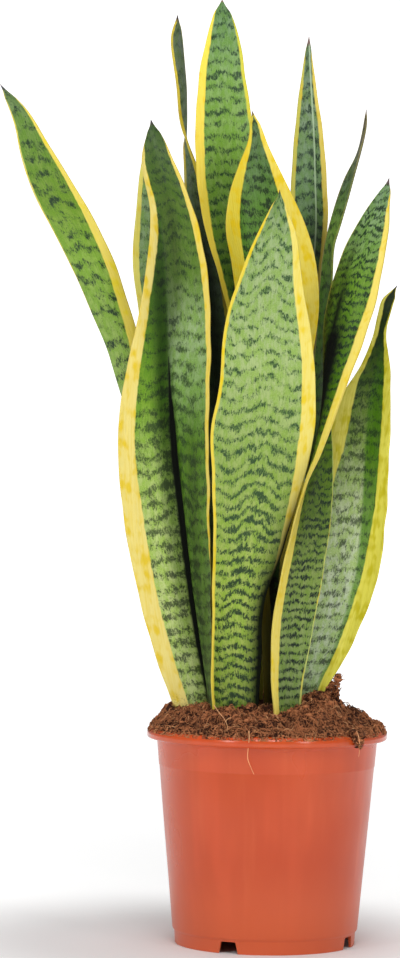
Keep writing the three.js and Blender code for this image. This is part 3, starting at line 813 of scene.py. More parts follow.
def leaf_bands(nodes, leaf, place, w, rows, climb, cover):
    """The dark cross bands: arched waves, torn into short lengthwise flecks over a soft shade.

    Gives the flecks' darkness, the shade's darkness and the plain wave behind them."""
    arch = nodes.math("COSINE", nodes.math("MULTIPLY", w, 5.2))
    swing = nodes.step(nodes.streaks(place, (0, 0.02, 0), 1.0), 0.35, 0.65)
    swing = nodes.math("MULTIPLY_ADD", swing, -0.35 * leaf["chevron"], -0.2 * leaf["chevron"])
    zigzag = nodes.streaks(place, (0.16, 0.05, 0))
    jag = nodes.streaks(place, (0.7, 0.2, 0))
    waver = nodes.math("MULTIPLY", arch, swing)
    waver = nodes.math("MULTIPLY_ADD", zigzag, 12.0, waver)
    waver = nodes.math("MULTIPLY_ADD", jag, 6.0, waver)
    calm = nodes.step(climb, 0.12, 0.48, 0.35 / leaf["spacing"][0], 1 / leaf["spacing"][1])
    phase = nodes.math("MULTIPLY_ADD", waver, calm, rows)
    wave = nodes.math("SINE", nodes.math("MULTIPLY", phase, math.tau))

    stroke = nodes.streaks(place, (1.15, 0.42, 0), 3.0, 0.75)
    patch = nodes.streaks(place, (0.12, 0.08, 0), 3.0, 0.6)
    clump = nodes.streaks(place, (0.42, 0.34, 0), 2.0, 0.6)
    clump_share = nodes.step(climb, 0.5, 0.2, 0.6, 1.6)
    clump = nodes.math("MULTIPLY", nodes.math("SUBTRACT", clump, 0.5), clump_share)
    wave_share = 0.42 * (1 - 0.65 * leaf["blotch"])
    patch_share = 0.9 + 1.4 * leaf["blotch"]
    band = nodes.math("MULTIPLY_ADD", wave, wave_share, clump)
    band = nodes.math("MULTIPLY_ADD", nodes.math("SUBTRACT", patch, 0.5), patch_share, band)
    band = nodes.math("SUBTRACT", band, cover)
    fleck = nodes.math("MULTIPLY_ADD", nodes.math("SUBTRACT", stroke, 0.5), 3.0, band)
    return nodes.step(fleck, 0.04, 0.5), nodes.step(band, -0.1, 0.5), wave


def leaf_margin(nodes, leaf, place, w, inset, wave):
    """How far a spot is in the yellow margin, and the margin's colour there."""
    ragged = nodes.streaks(place, (0.5, 0.16, 0))
    line = nodes.math("MULTIPLY_ADD", ragged, 1.3, nodes.math("SUBTRACT", inset, 0.65))
    share = nodes.step(line, 0.45, -0.45)
    ripe = nodes.streaks(place, (0.2, 0.06, 0))
    ripe = nodes.math("MULTIPLY_ADD", wave, 0.04, ripe)
    ripe = nodes.step(ripe, 0.64 - 0.5 * leaf["yellow"], 0.88 - 0.5 * leaf["yellow"], 0.0, 0.9)
    left, right = leaf["pale"]
    pale = nodes.mix(nodes.step(w, -0.1, 0.1), linear(left), linear(right))
    cloud = nodes.streaks(place, (0.7, 0.03, 0))
    pale = nodes.mix(nodes.step(cloud, 0.42, 0.7, 0.0, 0.35), pale, linear(leaf["deep"]))
    return share, nodes.mix(ripe, pale, linear(leaf["deep"]))


def leaf_material(leaf, settings):
    """Green with dark torn cross bands, a yellow margin, fine ribs and a dry tip."""
    nodes = Nodes(leaf["name"] + "_skin", "leaf")
    place = nodes.read("leaf_place")
    across, _, to_tip = nodes.parts(place)
    inset, rim, crease = nodes.parts(nodes.read("leaf_marks"))
    w, climb, from_ridge = nodes.parts(nodes.read("leaf_share"))
    cover, hollow, shade = nodes.parts(nodes.read("leaf_tone"))
    rows = nodes.read("leaf_rows", "Fac")
    flecks, soft, wave = leaf_bands(nodes, leaf, place, w, rows, climb, cover)

    # The green with painted sheen and shade, lighter and grassier patches, lengthwise streaks and
    # pale dashes.
    body = nodes.ramp(climb, leaf["greens"])
    # Right of the fold the second ramp takes over: the two wings as lit and shaded copies of the
    # green.
    if "right_greens" in leaf:
        side = nodes.step(from_ridge, -1.5, 1.5)
        body = nodes.mix(side, body, nodes.ramp(climb, leaf["right_greens"]))
    tone = nodes.streaks(place, (0.25, 0.1, 0), 3.0, 0.7)
    grassy = nodes.mix(1.0, body, GRASSY, "MULTIPLY")
    pale = nodes.mix(1.0, body, PALE, "MULTIPLY")
    body = nodes.mix(nodes.step(tone, 0.6, 0.4, 0.0, 0.8), body, grassy)
    body = nodes.mix(nodes.step(tone, 0.48, 0.66, 0.0, 0.6), body, pale)
    band = linear(leaf["band"])
    streak = nodes.streaks(place, (1.2, 0.06, 0), 3.0, 0.6)
    body = nodes.mix(nodes.step(streak, 0.45, 0.75, 0.0, 0.25), body, band)
    dash = nodes.streaks(place, (1.3, 0.5, 4.0), 2.0, 0.6)
    body = nodes.mix(nodes.step(dash, 0.52, 0.66, 0.0, 0.8), body, pale)
    body = nodes.mix(nodes.math("MULTIPLY", soft, 0.55 * leaf["strength"]), body, band)
    deep_band = nodes.mix(nodes.step(climb, 0.2, 0.5), tinted(band, 0.2), tinted(band, 0.45))
    body = nodes.mix(nodes.math("MULTIPLY", flecks, leaf["strength"]), body, deep_band)

    # Painted shade on the near side of a deep fold, painted black at its bottom further down, or a
    # pale line.
    near = nodes.step(nodes.math("ABSOLUTE", nodes.math("ADD", from_ridge, 4.0)), 11.0, 1.0)
    near = nodes.math("MULTIPLY", near, hollow)
    body = nodes.mix(near, body, HOLLOW_SHADE, "MULTIPLY")
    if "ridge_line" in leaf:
        line = nodes.step(nodes.math("ABSOLUTE", from_ridge), 0.8, 0.3, 0.0, leaf["ridge_line"])
        body = nodes.mix(line, body, RIDGE_LINE)
    share, gold = leaf_margin(nodes, leaf, place, w, inset, wave)
    skin = nodes.mix(share, body, gold)
    skin = nodes.mix(nodes.step(rim, 0.5, 0.15, 0.0, 0.35), skin, DRY_RIM)
    # The black shade painted at the bottom of the fold.
    depth = nodes.math("SUBTRACT", crease, nodes.math("ABSOLUTE", from_ridge))
    bottom = nodes.step(depth, -0.9, 0.4)
    skin = nodes.mix(bottom, skin, CREASE_SHADE)

    # Dry tip, deep shade between the leaves and a little peat dust on the foot.
    dry_length, dry_color = leaf["tip"]
    dry = nodes.math("SUBTRACT", to_tip, 2.0)
    dry = nodes.math("MULTIPLY_ADD", nodes.noise(place, 0.6), 4.0, dry)
    skin = nodes.mix(nodes.step(dry, dry_length, dry_length * 0.55), skin, linear(dry_color))
    skin = nodes.mix(shade, skin, DEEP_SHADE, "MULTIPLY")
    dust = nodes.streaks(place, (0.6, 0.5, 0), 3.0, 0.7)
    dust = nodes.math("MULTIPLY", nodes.step(dust, 0.5, 0.62), nodes.step(climb, 0.075, 0.03))
    skin = nodes.mix(dust, skin, PEAT_DUST)

    ribs = nodes.math("SINE", nodes.math("MULTIPLY", across, math.tau / RIB_SPACING))
    ribs = nodes.math("MULTIPLY_ADD", ribs, 0.2, streak)
    relief = nodes.bump(ribs, settings.rib_height)
    wax = nodes.streaks(place, (0.3, 0.12, 0), 3.0, 0.6)
    sunk = nodes.math("MULTIPLY", flecks, nodes.math("MULTIPLY_ADD", share, 0.15, -0.15))
    relief = nodes.bump(nodes.math("ADD", wax, sunk), 0.0005, under=relief)
    gloss = nodes.step(wax, 0.3, 0.7, 0.3, 0.44)
    coat = WAX_COAT
    if "shades" in leaf or "crease" in leaf:
        dull = nodes.math("MAXIMUM", nodes.math("MAXIMUM", shade, bottom), near)
        gloss = nodes.math("MAXIMUM", gloss, dull)
        coat = nodes.math("MULTIPLY_ADD", dull, -WAX_COAT, WAX_COAT)
    return nodes.finish(
        Base_Color=skin,
        Roughness=gloss,
        Normal=relief,
        Specular_IOR_Level=0.2,
        Coat_Weight=coat,
        Coat_Roughness=0.25,
    )


BRIGHT_FLOW = linear((214, 82, 36))
LIP_DUST = linear((120, 72, 48))


def pot_material(settings):
    """Satin moulded plastic with faint flow marks, scuffs and a little dust.

    It is paler low down, as painted light thrown up from the floor, dusty near the lip and glossier
    on it, by the height in metres."""
    nodes = Nodes("pot_plastic", "pot_plastic")
    place = nodes.add("ShaderNodeTexCoord", output=3)
    cloud = nodes.streaks(place, (14, 14, 9), 3.0, 0.6)
    flow = nodes.streaks(place, (120, 120, 6))
    grain = nodes.noise(place, 900.0)
    base = solid(settings.color)
    # A paler tint, for the flow marks and for the painted light low down.
    flow_and_low_light_tint = (base[0] * 1.05 + 0.02, base[1] * 1.25 + 0.012, base[2] * 1.4 + 0.01, 1.0)
    deep = (base[0] * 0.9, base[1] * 0.78, base[2] * 0.65, 1.0)
    color = nodes.mix(nodes.step(cloud, 0.35, 0.7), base, deep)
    color = nodes.mix(nodes.step(flow, 0.5, 0.8, 0.0, 0.5), color, flow_and_low_light_tint)
    shine = nodes.streaks(place, (45, 45, 5))
    color = nodes.mix(nodes.step(shine, 0.5, 0.72, 0.0, 0.6), color, BRIGHT_FLOW)
    scuffs = nodes.streaks(place, (22, 22, 22), 3.0, 0.7)
    color = nodes.mix(nodes.step(scuffs, 0.6, 0.75, 0.0, 0.5), color, deep)
    height = nodes.parts(place)[2]
    # Paler low down: painted light thrown up from the floor.
    color = nodes.mix(nodes.step(height, 0.07, 0.008, 0.0, 0.8), color, tinted(flow_and_low_light_tint, 1.06, 0.012))
    dusty = nodes.math("MULTIPLY", nodes.step(height, 0.138, 0.156), nodes.step(scuffs, 0.5, 0.68))
    color = nodes.mix(nodes.math("MULTIPLY", dusty, 0.35), color, LIP_DUST)
    relief = nodes.bump(nodes.noise(place, 18.0, 1.0), 0.0005)
    relief = nodes.bump(grain, 0.00003, 0.6, relief)
    smooth_lip = nodes.step(height, 0.142, 0.147, 0.0, -0.13)
    rough = nodes.math("ADD", nodes.step(cloud, 0.3, 0.8, 0.26, 0.4), smooth_lip)
    return nodes.finish(Base_Color=color, Roughness=rough, Normal=relief)


def peat_material(name, settings, lift=0.0):
    """Brown peat in darker and lighter patches, with shade painted into the pits of its fine bumps.
    Each crumb and fibre has a tint of its own.

    lift makes it lighter all over."""
    nodes = Nodes(name, "peat_soil")
    place = nodes.add("ShaderNodeTexCoord", output=3)
    tint = nodes.read("tint", "Fac")
    fine = nodes.noise(place, 420.0, 4.0, 0.7)
    broad = nodes.noise(place, 60.0, 3.0, 0.6)
    mixed = nodes.math("ADD", broad, fine)
    mixed = nodes.math("ADD", mixed, nodes.math("MULTIPLY_ADD", tint, 0.9, lift - 0.82))
    # The dark peat comes out where the fine bumps sink: partly random patches, partly painted shade
    # in the pits.
    color = nodes.mix(nodes.step(mixed, 0.2, 0.8), solid(settings.dark), solid(settings.light))
    color = nodes.mix(nodes.step(tint, 0.86, 0.97), color, solid(settings.straw))
    relief = nodes.bump(fine, 0.002)
    return nodes.finish(Base_Color=color, Roughness=0.92, Normal=relief, Specular_IOR_Level=0.25)


def root_material(settings):
    """Pale thin roots with darker lengths."""
    nodes = Nodes("root_skin", "peat_soil")
    place = nodes.add("ShaderNodeTexCoord", output=3)
    spots = nodes.noise(place, 220.0, 3.0, 0.6)
    straw = solid(settings.straw)
    color = nodes.mix(nodes.step(spots, 0.4, 0.7), straw, tinted(straw, 1.35))
    return nodes.finish(Base_Color=color, Roughness=0.7, Normal=nodes.bump(spots, 0.0003))


def floor_material(settings):
    """The floor: even and matte, and lit from below away from the plant, until it is white."""
    nodes = Nodes("floor_paint", "stage")
    place = nodes.add("ShaderNodeTexCoord", output=3)
    mottle = nodes.noise(place, 3.0)
    reach = nodes.add("ShaderNodeVectorMath", {0: place}, output=1, operation="LENGTH")
    near = nodes.step(reach, 0.09, 0.3, 0.0, FLOOR_GLOW)
    lit = nodes.math("ADD", near, nodes.step(reach, 0.3, FLOOR_RADIUS, 0.0, 1 - FLOOR_GLOW))
    paint = solid(settings.floor_color)
    return nodes.finish(
        Base_Color=nodes.mix(mottle, paint, tinted(paint, 0.985)),
        Roughness=0.9,
        Specular_IOR_Level=0.2,
        Emission_Color=WHITE,
        Emission_Strength=lit,
    )


def backdrop_material():
    """Plain white that shines by itself."""
    nodes = Nodes("backdrop_paint", "stage")
    return nodes.finish(
        Base_Color=WHITE,
        Roughness=1.0,
        Emission_Color=WHITE,
        Emission_Strength=1.0,
    )


# ---- Leaves ----


class LeafShape:
    """A leaf's skin as rings of points, and what its material reads at each of them.

    What belongs to a ring stands in a column, and what belongs to a place round it in a row."""

    def __init__(self, leaf, settings):
        self.leaf = leaf
        self.settings = settings
        self.lay_rings()
        self.lay_places()

    def lay_rings(self):
        """Sets each ring's height, middle, direction across, half width and way from the foot."""
        share = np.linspace(0, 1, self.settings.rings)
        self.climb = (share + np.sin(share * math.pi / 2)) / 2
        self.bottom, top = self.leaf["left"][0][0], self.leaf["left"][-1][0]
        self.height = self.bottom + (top - self.bottom) * self.climb
        left, right = curve(self.leaf["left"], self.height), curve(self.leaf["right"], self.height)
        self.middle = (left + right) / 2
        width = np.linalg.norm(right - left, axis=1)
        self.across = (right - left) / width[:, None]
        point = np.clip((top - self.height) / self.settings.point_length, 0, 1) ** 0.7
        self.half = (width / 2 * (TIP_WIDTH + (1 - TIP_WIDTH) * point))[:, None]
        sideways = np.hypot(np.gradient(self.middle[:, 0]), np.gradient(self.middle[:, 1]))
        steps = np.hypot(sideways, np.gradient(self.height))
        self.along = np.concatenate([[0], np.cumsum(steps[1:])])[:, None]

    def lay_places(self):
        """Sets how far across each place lies, on which face, and how far it is from the fold."""
        around = self.settings.around
        angle = (np.arange(around) + 0.5) * math.tau / around
        self.place, self.side = np.cos(angle)[None, :], np.sin(angle)[None, :]
        self.ridge = self.in_stages(self.leaf.get("ridge", (0.5, 0.5, 0.5))) * 2 - 1
        self.from_ridge = (self.place - self.ridge) * self.half
        self.crease = self.by_height("crease")

    def in_stages(self, values):
        """A smooth column of what is given at the foot, halfway and at the tip."""
        return curve(list(zip((0, 0.5, 1), values)), self.climb)

    def by_height(self, key):
        """A column of what the leaf gives by height, or of noughts."""
        return straight(self.leaf.get(key, ((0, 0), (1, 0))), self.height)[:, None]

    def sag(self):
        """How far the leaf's middle layer lies behind the line between the edges."""
        reach = np.where(self.place < self.ridge, self.ridge + 1, 1 - self.ridge)
        share = np.abs(self.place - self.ridge) / reach
        rounded = 1 - share ** self.leaf.get("bend", 2)
        fold = self.half * self.in_stages(self.leaf["fold"]) * rounded
        slot = np.minimum(1, self.crease / FULL_SLOT_CREASE) * self.settings.slot_depth
        return fold + slot * np.exp(-((self.from_ridge / self.settings.slot_width) ** 2))

    def half_thickness(self):
        """Half the thickness: full in the middle, thick at the foot, thin and round at the edge."""
        settings = self.settings
        foot_share = np.clip(1 - (self.height - self.bottom) / settings.foot_fade, 0, 1)[:, None]
        body = settings.thickness + (settings.foot_thickness - settings.thickness) * foot_share
        rim = np.minimum(settings.edge_thickness, self.half)
        thick = np.minimum(body, rim + self.half * 0.25)
        bulge = np.abs(self.side)
        rounding = np.minimum(1, bulge / 0.2) ** 0.6
        return (rim * rounding + (thick - rim) * bulge) / 2

    def points(self):
        """The skin's points, with slow swells on the faces and a faint wave along the edges."""
        seed = self.leaf["name"]
        u, v = self.place * self.half, self.along * np.ones(self.settings.around)
        swell = 0.3 * ripples(u * 0.16, v * 0.018, seed)
        swell = swell + 0.12 * ripples(u * 0.5, v * 0.03, seed + "b")
        swell = swell * np.minimum(1, self.half / 10)
        offset = self.sag() + swell - np.sign(self.side) * self.half_thickness()
        wobble = 0.35 * ripples(self.place * 2, v * 0.16, seed + "c") * np.minimum(1, self.half / 8)
        width = u + wobble * np.sign(self.place) * np.abs(self.place) ** 3
        behind = np.stack([-self.across[:, 1], self.across[:, 0]], 1)
        flat = self.middle[:, None] + self.across[:, None] * width[..., None]
        flat = flat + behind[:, None] * offset[..., None]
        height = np.broadcast_to(self.height[:, None, None], (*u.shape, 1))
        return np.concatenate([flat, height], 2)

    def cover(self):
        """How few bands there are, spread between what is given at three places across."""
        shares, *columns = np.array(self.leaf["cover"], float).T
        rows = zip(*[np.interp(self.climb, shares, column) for column in columns])
        return np.stack([np.interp(self.place[0], (-1, 0, 1), row) for row in rows])

    def shade(self):
        """How dark each spot is that lies deep between the leaves."""
        shade = np.zeros(self.from_ridge.shape)
        for face, at, spot, tall, wide, amount in self.leaf.get("shades", ()):
            up, over = (self.height[:, None] - at) / tall, (self.place - spot) / wide
            spread = np.exp(-(up**4) - over**2)
            faces_it = self.side > 0 if face == "front" else self.side < 0
            shade = np.maximum(shade, np.minimum(amount * spread, DARKEST_SHADE) * faces_it)
        return shade

    def fields(self):
        """What the leaf's material reads, by the name that it reads it by."""
        full = np.ones(self.from_ridge.shape)
        left_inset = (1 + self.place) * self.half - self.by_height("left_margin")
        right_inset = (1 - self.place) * self.half - self.by_height("right_margin")
        inset = np.minimum(left_inset, right_inset)
        rim = (1 - np.abs(self.place)) * self.half
        crease = np.where((self.side > 0) & (self.crease > 0), self.crease, -5)
        hollow = self.by_height("hollow") * (self.side > 0)
        to_tip = (self.along[-1] - self.along) * full
        pattern = self.along * full + PATTERN_SHIFT * LEAVES.index(self.leaf)
        steps = np.diff(self.along, axis=0) / self.in_stages(self.leaf["spacing"])[1:]
        rows = np.concatenate([[[0]], np.cumsum(steps, axis=0)])
        climb = self.climb[:, None]
        return {
            "leaf_place": np.stack([self.place * self.half, pattern, to_tip], 2),
            "leaf_marks": np.stack([inset, rim, crease], 2),
            "leaf_share": np.stack([self.place * full, climb * full, self.from_ridge], 2),
            "leaf_tone": np.stack([self.cover(), hollow, self.shade()], 2),
            "leaf_rows": rows * full,
        }


def make_leaf(leaf, settings):
    """One leaf, in place of its node."""
    shape = LeafShape(leaf, settings)
    rings, around = settings.rings, settings.around
    faces = grid_faces(rings, around, flip=True)
    faces.append(tuple(range(around)))
    faces.append(tuple(reversed(range((rings - 1) * around, rings * around))))
    points = shape.points().reshape(-1, 3)
    material = leaf_material(leaf, settings)
    piece = add_piece(leaf["name"] + "_blade", points, faces, material, leaf["name"])
    for name, values in shape.fields().items():
        add_values(piece, name, values)


# ---- Pot ----


def outer_radius(height):
    """The pot wall's outer radius at a height, without the step."""
    share = (height - WALL_START[1]) / (WALL_TOP[1] - WALL_START[1])
    return WALL_START[0] + (WALL_TOP[0] - WALL_START[0]) * share


def arc(center, radius, start, end, steps):
    """Points on an arc in the profile's (radius, height) plane, angles in degrees."""
    turns = np.radians(np.linspace(start, end, steps))
    return [(center[0] + radius * math.cos(a), center[1] + radius * math.sin(a)) for a in turns]


def pot_profile():
    """The pot's wall, cut through: up the outside, over the lip and down the inside."""
    foot_inside = FOOT_RADIUS - FOOT_WALL
    step = outer_radius(STEP_HEIGHT) - STEP_RISE / 2
    inner_top = WALL_TOP[0] - WALL
    floor_top = FOOT_HEIGHT + FLOOR_THICKNESS
    bulge_center = (LIP_EDGE - LIP_BULGE, LIP_UNDERSIDE + 3.3)
    return [
        (0, FOOT_HEIGHT),
        (foot_inside - 1, FOOT_HEIGHT),
        *arc((foot_inside - 0.6, FOOT_HEIGHT - 0.6), 0.6, 90, 0, 4),
        (foot_inside, 0.3),
        (foot_inside + 0.3, 0),
        (FOOT_RADIUS - 0.4, 0),
        (FOOT_RADIUS, 0.4),
        (FOOT_RADIUS + 0.5, FOOT_HEIGHT - 0.4),
        (FOOT_RADIUS + 0.8, FOOT_HEIGHT + 0.2),
        (WALL_START[0] - 0.3, WALL_START[1] - 0.6),
        (WALL_START[0] + 0.1, WALL_START[1] + 0.4),
        *[(outer_radius(height), height) for height in (35, 60, 90)],
        (step, STEP_HEIGHT - 0.5),
        (step + STEP_RISE * 0.9, STEP_HEIGHT - 0.1),
        (step + STEP_RISE, STEP_HEIGHT + 0.5),
        (WALL_TOP[0] - 0.05, WALL_TOP[1] - 1),
        *arc((WALL_TOP[0] + 1.9, LIP_UNDERSIDE - LIP_CURL), LIP_CURL, 180, 90, 5),
        (LIP_EDGE - 2.4, LIP_UNDERSIDE),
        *arc((LIP_EDGE - LIP_CURL, LIP_UNDERSIDE + LIP_CURL), LIP_CURL, -80, 0, 6),
        *arc(bulge_center, LIP_BULGE, 0, 82, 9),
        (LIP_EDGE - 5.5, LIP_TOP),
        (WALL_TOP[0] + 0.8, LIP_TOP),
        *arc((WALL_TOP[0] + 0.3, LIP_TOP - INNER_ROUNDING), INNER_ROUNDING, 90, 180, 6),
        (inner_top, WALL_TOP[1]),
        (outer_radius(STEP_HEIGHT) - WALL, STEP_HEIGHT),
        (WALL_START[0] + 0.1 - WALL, WALL_START[1] + FLOOR_THICKNESS),
        (FOOT_RADIUS - 1, floor_top),
        (0, floor_top),
    ]


def turned_faces(count, around):
    """Faces of a profile turned round an axis that its first and last points lie on."""
    faces = []
    for ring in range(1, count - 2):
        for a in range(around):
            b = (a + 1) % around
            low, high = 1 + (ring - 1) * around, 1 + ring * around
            faces.append((low + a, low + b, high + b, high + a))
    last = 1 + (count - 2) * around
    for a in range(around):
        b = (a + 1) % around
        faces.append((0, 1 + b, 1 + a))
        faces.append((last, last - around + a, last - around + b))
    return faces


def turned_points(profile, around):
    """Points of a profile turned round an axis that its first and last points lie on."""
    turns = np.arange(around) * math.tau / around
    points = [(0, 0, profile[0][1])]
    for radius, height in profile[1:-1]:
        points += [(radius * math.cos(a), radius * math.sin(a), height) for a in turns]
    points.append((0, 0, profile[-1][1]))
    return points


def drain_cutter():
    """The four drain notches in the foot ring and the slots in the floor behind them."""
    low, high, rise = NOTCH
    width, length, radius = DRAIN_SLOT
    prisms = [
        [(-low / 2, -1), (low / 2, -1), (high / 2, rise), (-high / 2, rise)],
        [
            (-width / 2, FOOT_HEIGHT - 1),
            (width / 2, FOOT_HEIGHT - 1),
            (width / 2, FOOT_HEIGHT + FLOOR_THICKNESS + 1),
            (-width / 2, FOOT_HEIGHT + FLOOR_THICKNESS + 1),
        ],
    ]
    depths = [(FOOT_RADIUS - 6, FOOT_RADIUS + 6), (radius - length / 2, radius + length / 2)]
    points, faces = [], []
    for angle in DRAIN_ANGLES:
        outward = Vector((math.sin(angle), -math.cos(angle), 0))
        sideways = Vector((math.cos(angle), math.sin(angle), 0))
        for outline, (near, far) in zip(prisms, depths):
            start = len(points)
            for reach in (near, far):
                for side, height in outline:
                    points.append(outward * reach + sideways * side + Vector((0, 0, height)))
            for cap in ((3, 2, 1, 0), (4, 5, 6, 7)):
                faces.append(tuple(start + i for i in cap))
            for a in range(4):
                b = (a + 1) % 4
                faces.append((start + a, start + b, start + b + 4, start + a + 4))
    return add_object("drain_cutter", in_frame([tuple(point) for point in points]).tolist(), faces)


def cut(piece, cutter):
    """Cuts the cutter out of the piece for good and deletes the cutter."""
    boolean = piece.modifiers.new("cut", "BOOLEAN")
    boolean.operation = "DIFFERENCE"
    boolean.solver = "EXACT"
    boolean.object = cutter
    graph = bpy.context.evaluated_depsgraph_get()
    made = bpy.data.meshes.new_from_object(piece.evaluated_get(graph))
    piece.modifiers.clear()
    old = piece.data
    piece.data = made
    bpy.data.meshes.remove(old)
    bpy.data.objects.remove(cutter)


# ---- Soil ----


def bell(x, y, center, spread):
    """A smooth hump of height 1."""
    return np.exp(-(((x - center[0]) / spread[0]) ** 2) - ((y - center[1]) / spread[1]) ** 2)


def heap_height(x, y):
    """The soil's height over the floor, in millimetres, without its grain."""
    inward = np.clip((SOIL_RIM_RADIUS - np.hypot(x, y)) / SOIL_SHOULDER, 0, 1)
    shoulder = inward * inward * (3 - 2 * inward)
    right_mound = 10 * bell(x, y, (34, -8), (16, 32)) - 5 * bell(x, y, (57, 0), (8, 50))
    left_heap = 7 * bell(x, y, (-71, 2), (6, 26))
    front_hollow = 5 * bell(x, y, (4, -62), (26, 16))
    middle_mound = 9 * bell(x, y, (0, 38), (34, 18))
    lumps = 0.9 * np.sin(x * 0.31 + y * 0.17) + 0.8 * np.sin(y * 0.37 - x * 0.13 + 2)
    rise = SOIL_MOUND + lumps + right_mound + middle_mound - front_hollow
    return SOIL_RIM_HEIGHT + left_heap + shoulder * rise


def grain_at(x, y):
    """Fine lumps and pits of the peat, in millimetres."""
    coarse = noise.fractal(Vector((x * 0.11, y * 0.11, 3.1)), 1.0, 2.0, 3)
    fine = noise.fractal(Vector((x * 0.42, y * 0.42, 7.7)), 1.0, 2.0, 3)
    return 2.2 * coarse + 1.3 * fine


def make_soil(settings):
    """The peat's closed body, heaped over the inner edge of the lip."""
    inset = WALL + SOIL_GAP
    floor_top = FOOT_HEIGHT + FLOOR_THICKNESS + SOIL_GAP
    radii = SOIL_RIM_RADIUS * np.sqrt(np.linspace(0, 1, SOIL_RINGS))
    outline = [
        (0, floor_top),
        (FOOT_RADIUS - 1.3, floor_top),
        (WALL_START[0] - inset, WALL_START[1] + 2),
        (outer_radius(STEP_HEIGHT) - inset, STEP_HEIGHT),
        (WALL_TOP[0] - inset, LIP_TOP - 3),
        (WALL_TOP[0] + 0.5, LIP_TOP + SOIL_GAP),
        (SOIL_RIM_RADIUS - 0.5, LIP_TOP + SOIL_GAP),
        *[(radius, SOIL_RIM_HEIGHT) for radius in radii[::-1]],
    ]
    points = np.array(turned_points(outline, SOIL_SIDES))
    top = points[:, 2] > SOIL_RIM_HEIGHT - 0.01
    for index in np.nonzero(top)[0]:
        x, y = points[index, :2]
        inward = min(1.0, (SOIL_RIM_RADIUS - math.hypot(x, y)) / 8)
        drop = 1.2 * (1 - inward) ** 3
        points[index, 2] = heap_height(x, y) + grain_at(x, y) * (0.35 + 0.65 * inward) - drop
    faces = turned_faces(len(outline), SOIL_SIDES)
    piece = add_piece("soil_heap", points, faces, peat_material("peat", settings), "soil")
    add_values(piece, "tint", np.full(len(points), 0.1))


def lip_height(radius):
    """The height of the lip's rounded top at a radius outside the heap."""
    over = min(LIP_BULGE, max(0.0, radius - (LIP_EDGE - LIP_BULGE)))
    return LIP_TOP - LIP_BULGE + math.sqrt(LIP_BULGE**2 - over**2)


def ground_at(x, y):
    """The height of the heap, or of the lip outside it."""
    radius = math.hypot(x, y)
    if radius > SOIL_RIM_RADIUS:
        return lip_height(radius)
    return float(heap_height(x, y)) + grain_at(x, y)


def rim_share(x, y):
    """How tall things may stand on the heap: 1 in its middle and less towards the rim."""
    return 0.3 + 0.7 * min(1.0, max(0.0, (SOIL_RIM_RADIUS - math.hypot(x, y)) / 22))


def spot_on_heap(draw):
    """A random place on the heap, thicker towards the edge that shows."""
    radius = (SOIL_RIM_RADIUS - 0.5) * draw.uniform(0.05, 1) ** 0.45
    angle = draw.uniform(0, math.tau)
    x, y = radius * math.cos(angle), radius * math.sin(angle)
    return Vector((x, y, ground_at(x, y)))


def spot_on_lip(draw):
    """A random place on the lip, along the foot of the heap."""
    radius = SOIL_RIM_RADIUS + draw.uniform(-0.8, 1.0)
    angle = draw.uniform(0, math.tau)
    rise = draw.uniform(0, 1.0) ** 2 * 2.2
    return Vector((radius * math.cos(angle), radius * math.sin(angle), lip_height(radius) + rise))


class Litter:
    """Gathers many small closed shapes, each with a tint of its own, for one piece."""

    def __init__(self):
        self.points, self.faces, self.tints = [], [], []

    def add(self, points, faces, tint):
        start = len(self.points)
        self.points += points
        self.faces += [tuple(start + corner for corner in face) for face in faces]
        self.tints += [tint] * len(points)

    def build(self, name, material):
        piece = add_piece(name, self.points, self.faces, material)
        add_values(piece, "tint", self.tints)


def crumb_shape():
    """The corners and faces of a 20-sided lump."""
    gold = (1 + math.sqrt(5)) / 2
    corners = [(-1, gold, 0), (1, gold, 0), (-1, -gold, 0), (1, -gold, 0)]
    corners += [(0, -1, gold), (0, 1, gold), (0, -1, -gold), (0, 1, -gold)]
    corners += [(gold, 0, -1), (gold, 0, 1), (-gold, 0, -1), (-gold, 0, 1)]
    fans = [(0, 11, 5), (0, 5, 1), (0, 1, 7), (0, 7, 10), (0, 10, 11)]
    fans += [(1, 5, 9), (5, 11, 4), (11, 10, 2), (10, 7, 6), (7, 1, 8)]
    fans += [(3, 9, 4), (3, 4, 2), (3, 2, 6), (3, 6, 8), (3, 8, 9)]
    fans += [(4, 9, 5), (2, 4, 11), (6, 2, 10), (8, 6, 7), (9, 8, 1)]
    return [Vector(corner).normalized() for corner in corners], fans


def crumb_points(draw, corners, spot, size):
    """The corners of one ragged crumb, stretched and turned at random."""
    stretch = Vector((draw.uniform(0.7, 1.7), draw.uniform(0.5, 1.1), draw.uniform(0.4, 0.9)))
    turn = draw.uniform(0, math.tau)
    points = []
    for corner in corners:
        x, y, z = [a * b * size * draw.uniform(0.5, 1.2) for a, b in zip(corner, stretch)]
        flat = (x * math.cos(turn) - y * math.sin(turn), x * math.sin(turn) + y * math.cos(turn))
        points.append((spot[0] + flat[0], spot[1] + flat[1], spot[2] + z))
    return points


def make_crumbs(settings):
    """Loose crumbs of peat all over the heap."""
    draw = random.Random(CRUMB_SEED)
    corners, fans = crumb_shape()
    litter = Litter()
    for index in range(settings.crumbs):
        on_lip = index % 3 == 0
        spot = spot_on_lip(draw) if on_lip else spot_on_heap(draw)
        size = draw.uniform(0.55, 1.0) ** 4 * settings.crumb_size / MM
        size *= 0.5 if on_lip else rim_share(spot.x, spot.y)
        litter.add(crumb_points(draw, corners, spot, size), fans, draw.random() * 0.8)
    litter.build("soil_crumbs", peat_material("peat_crumbs", settings, 0.05))


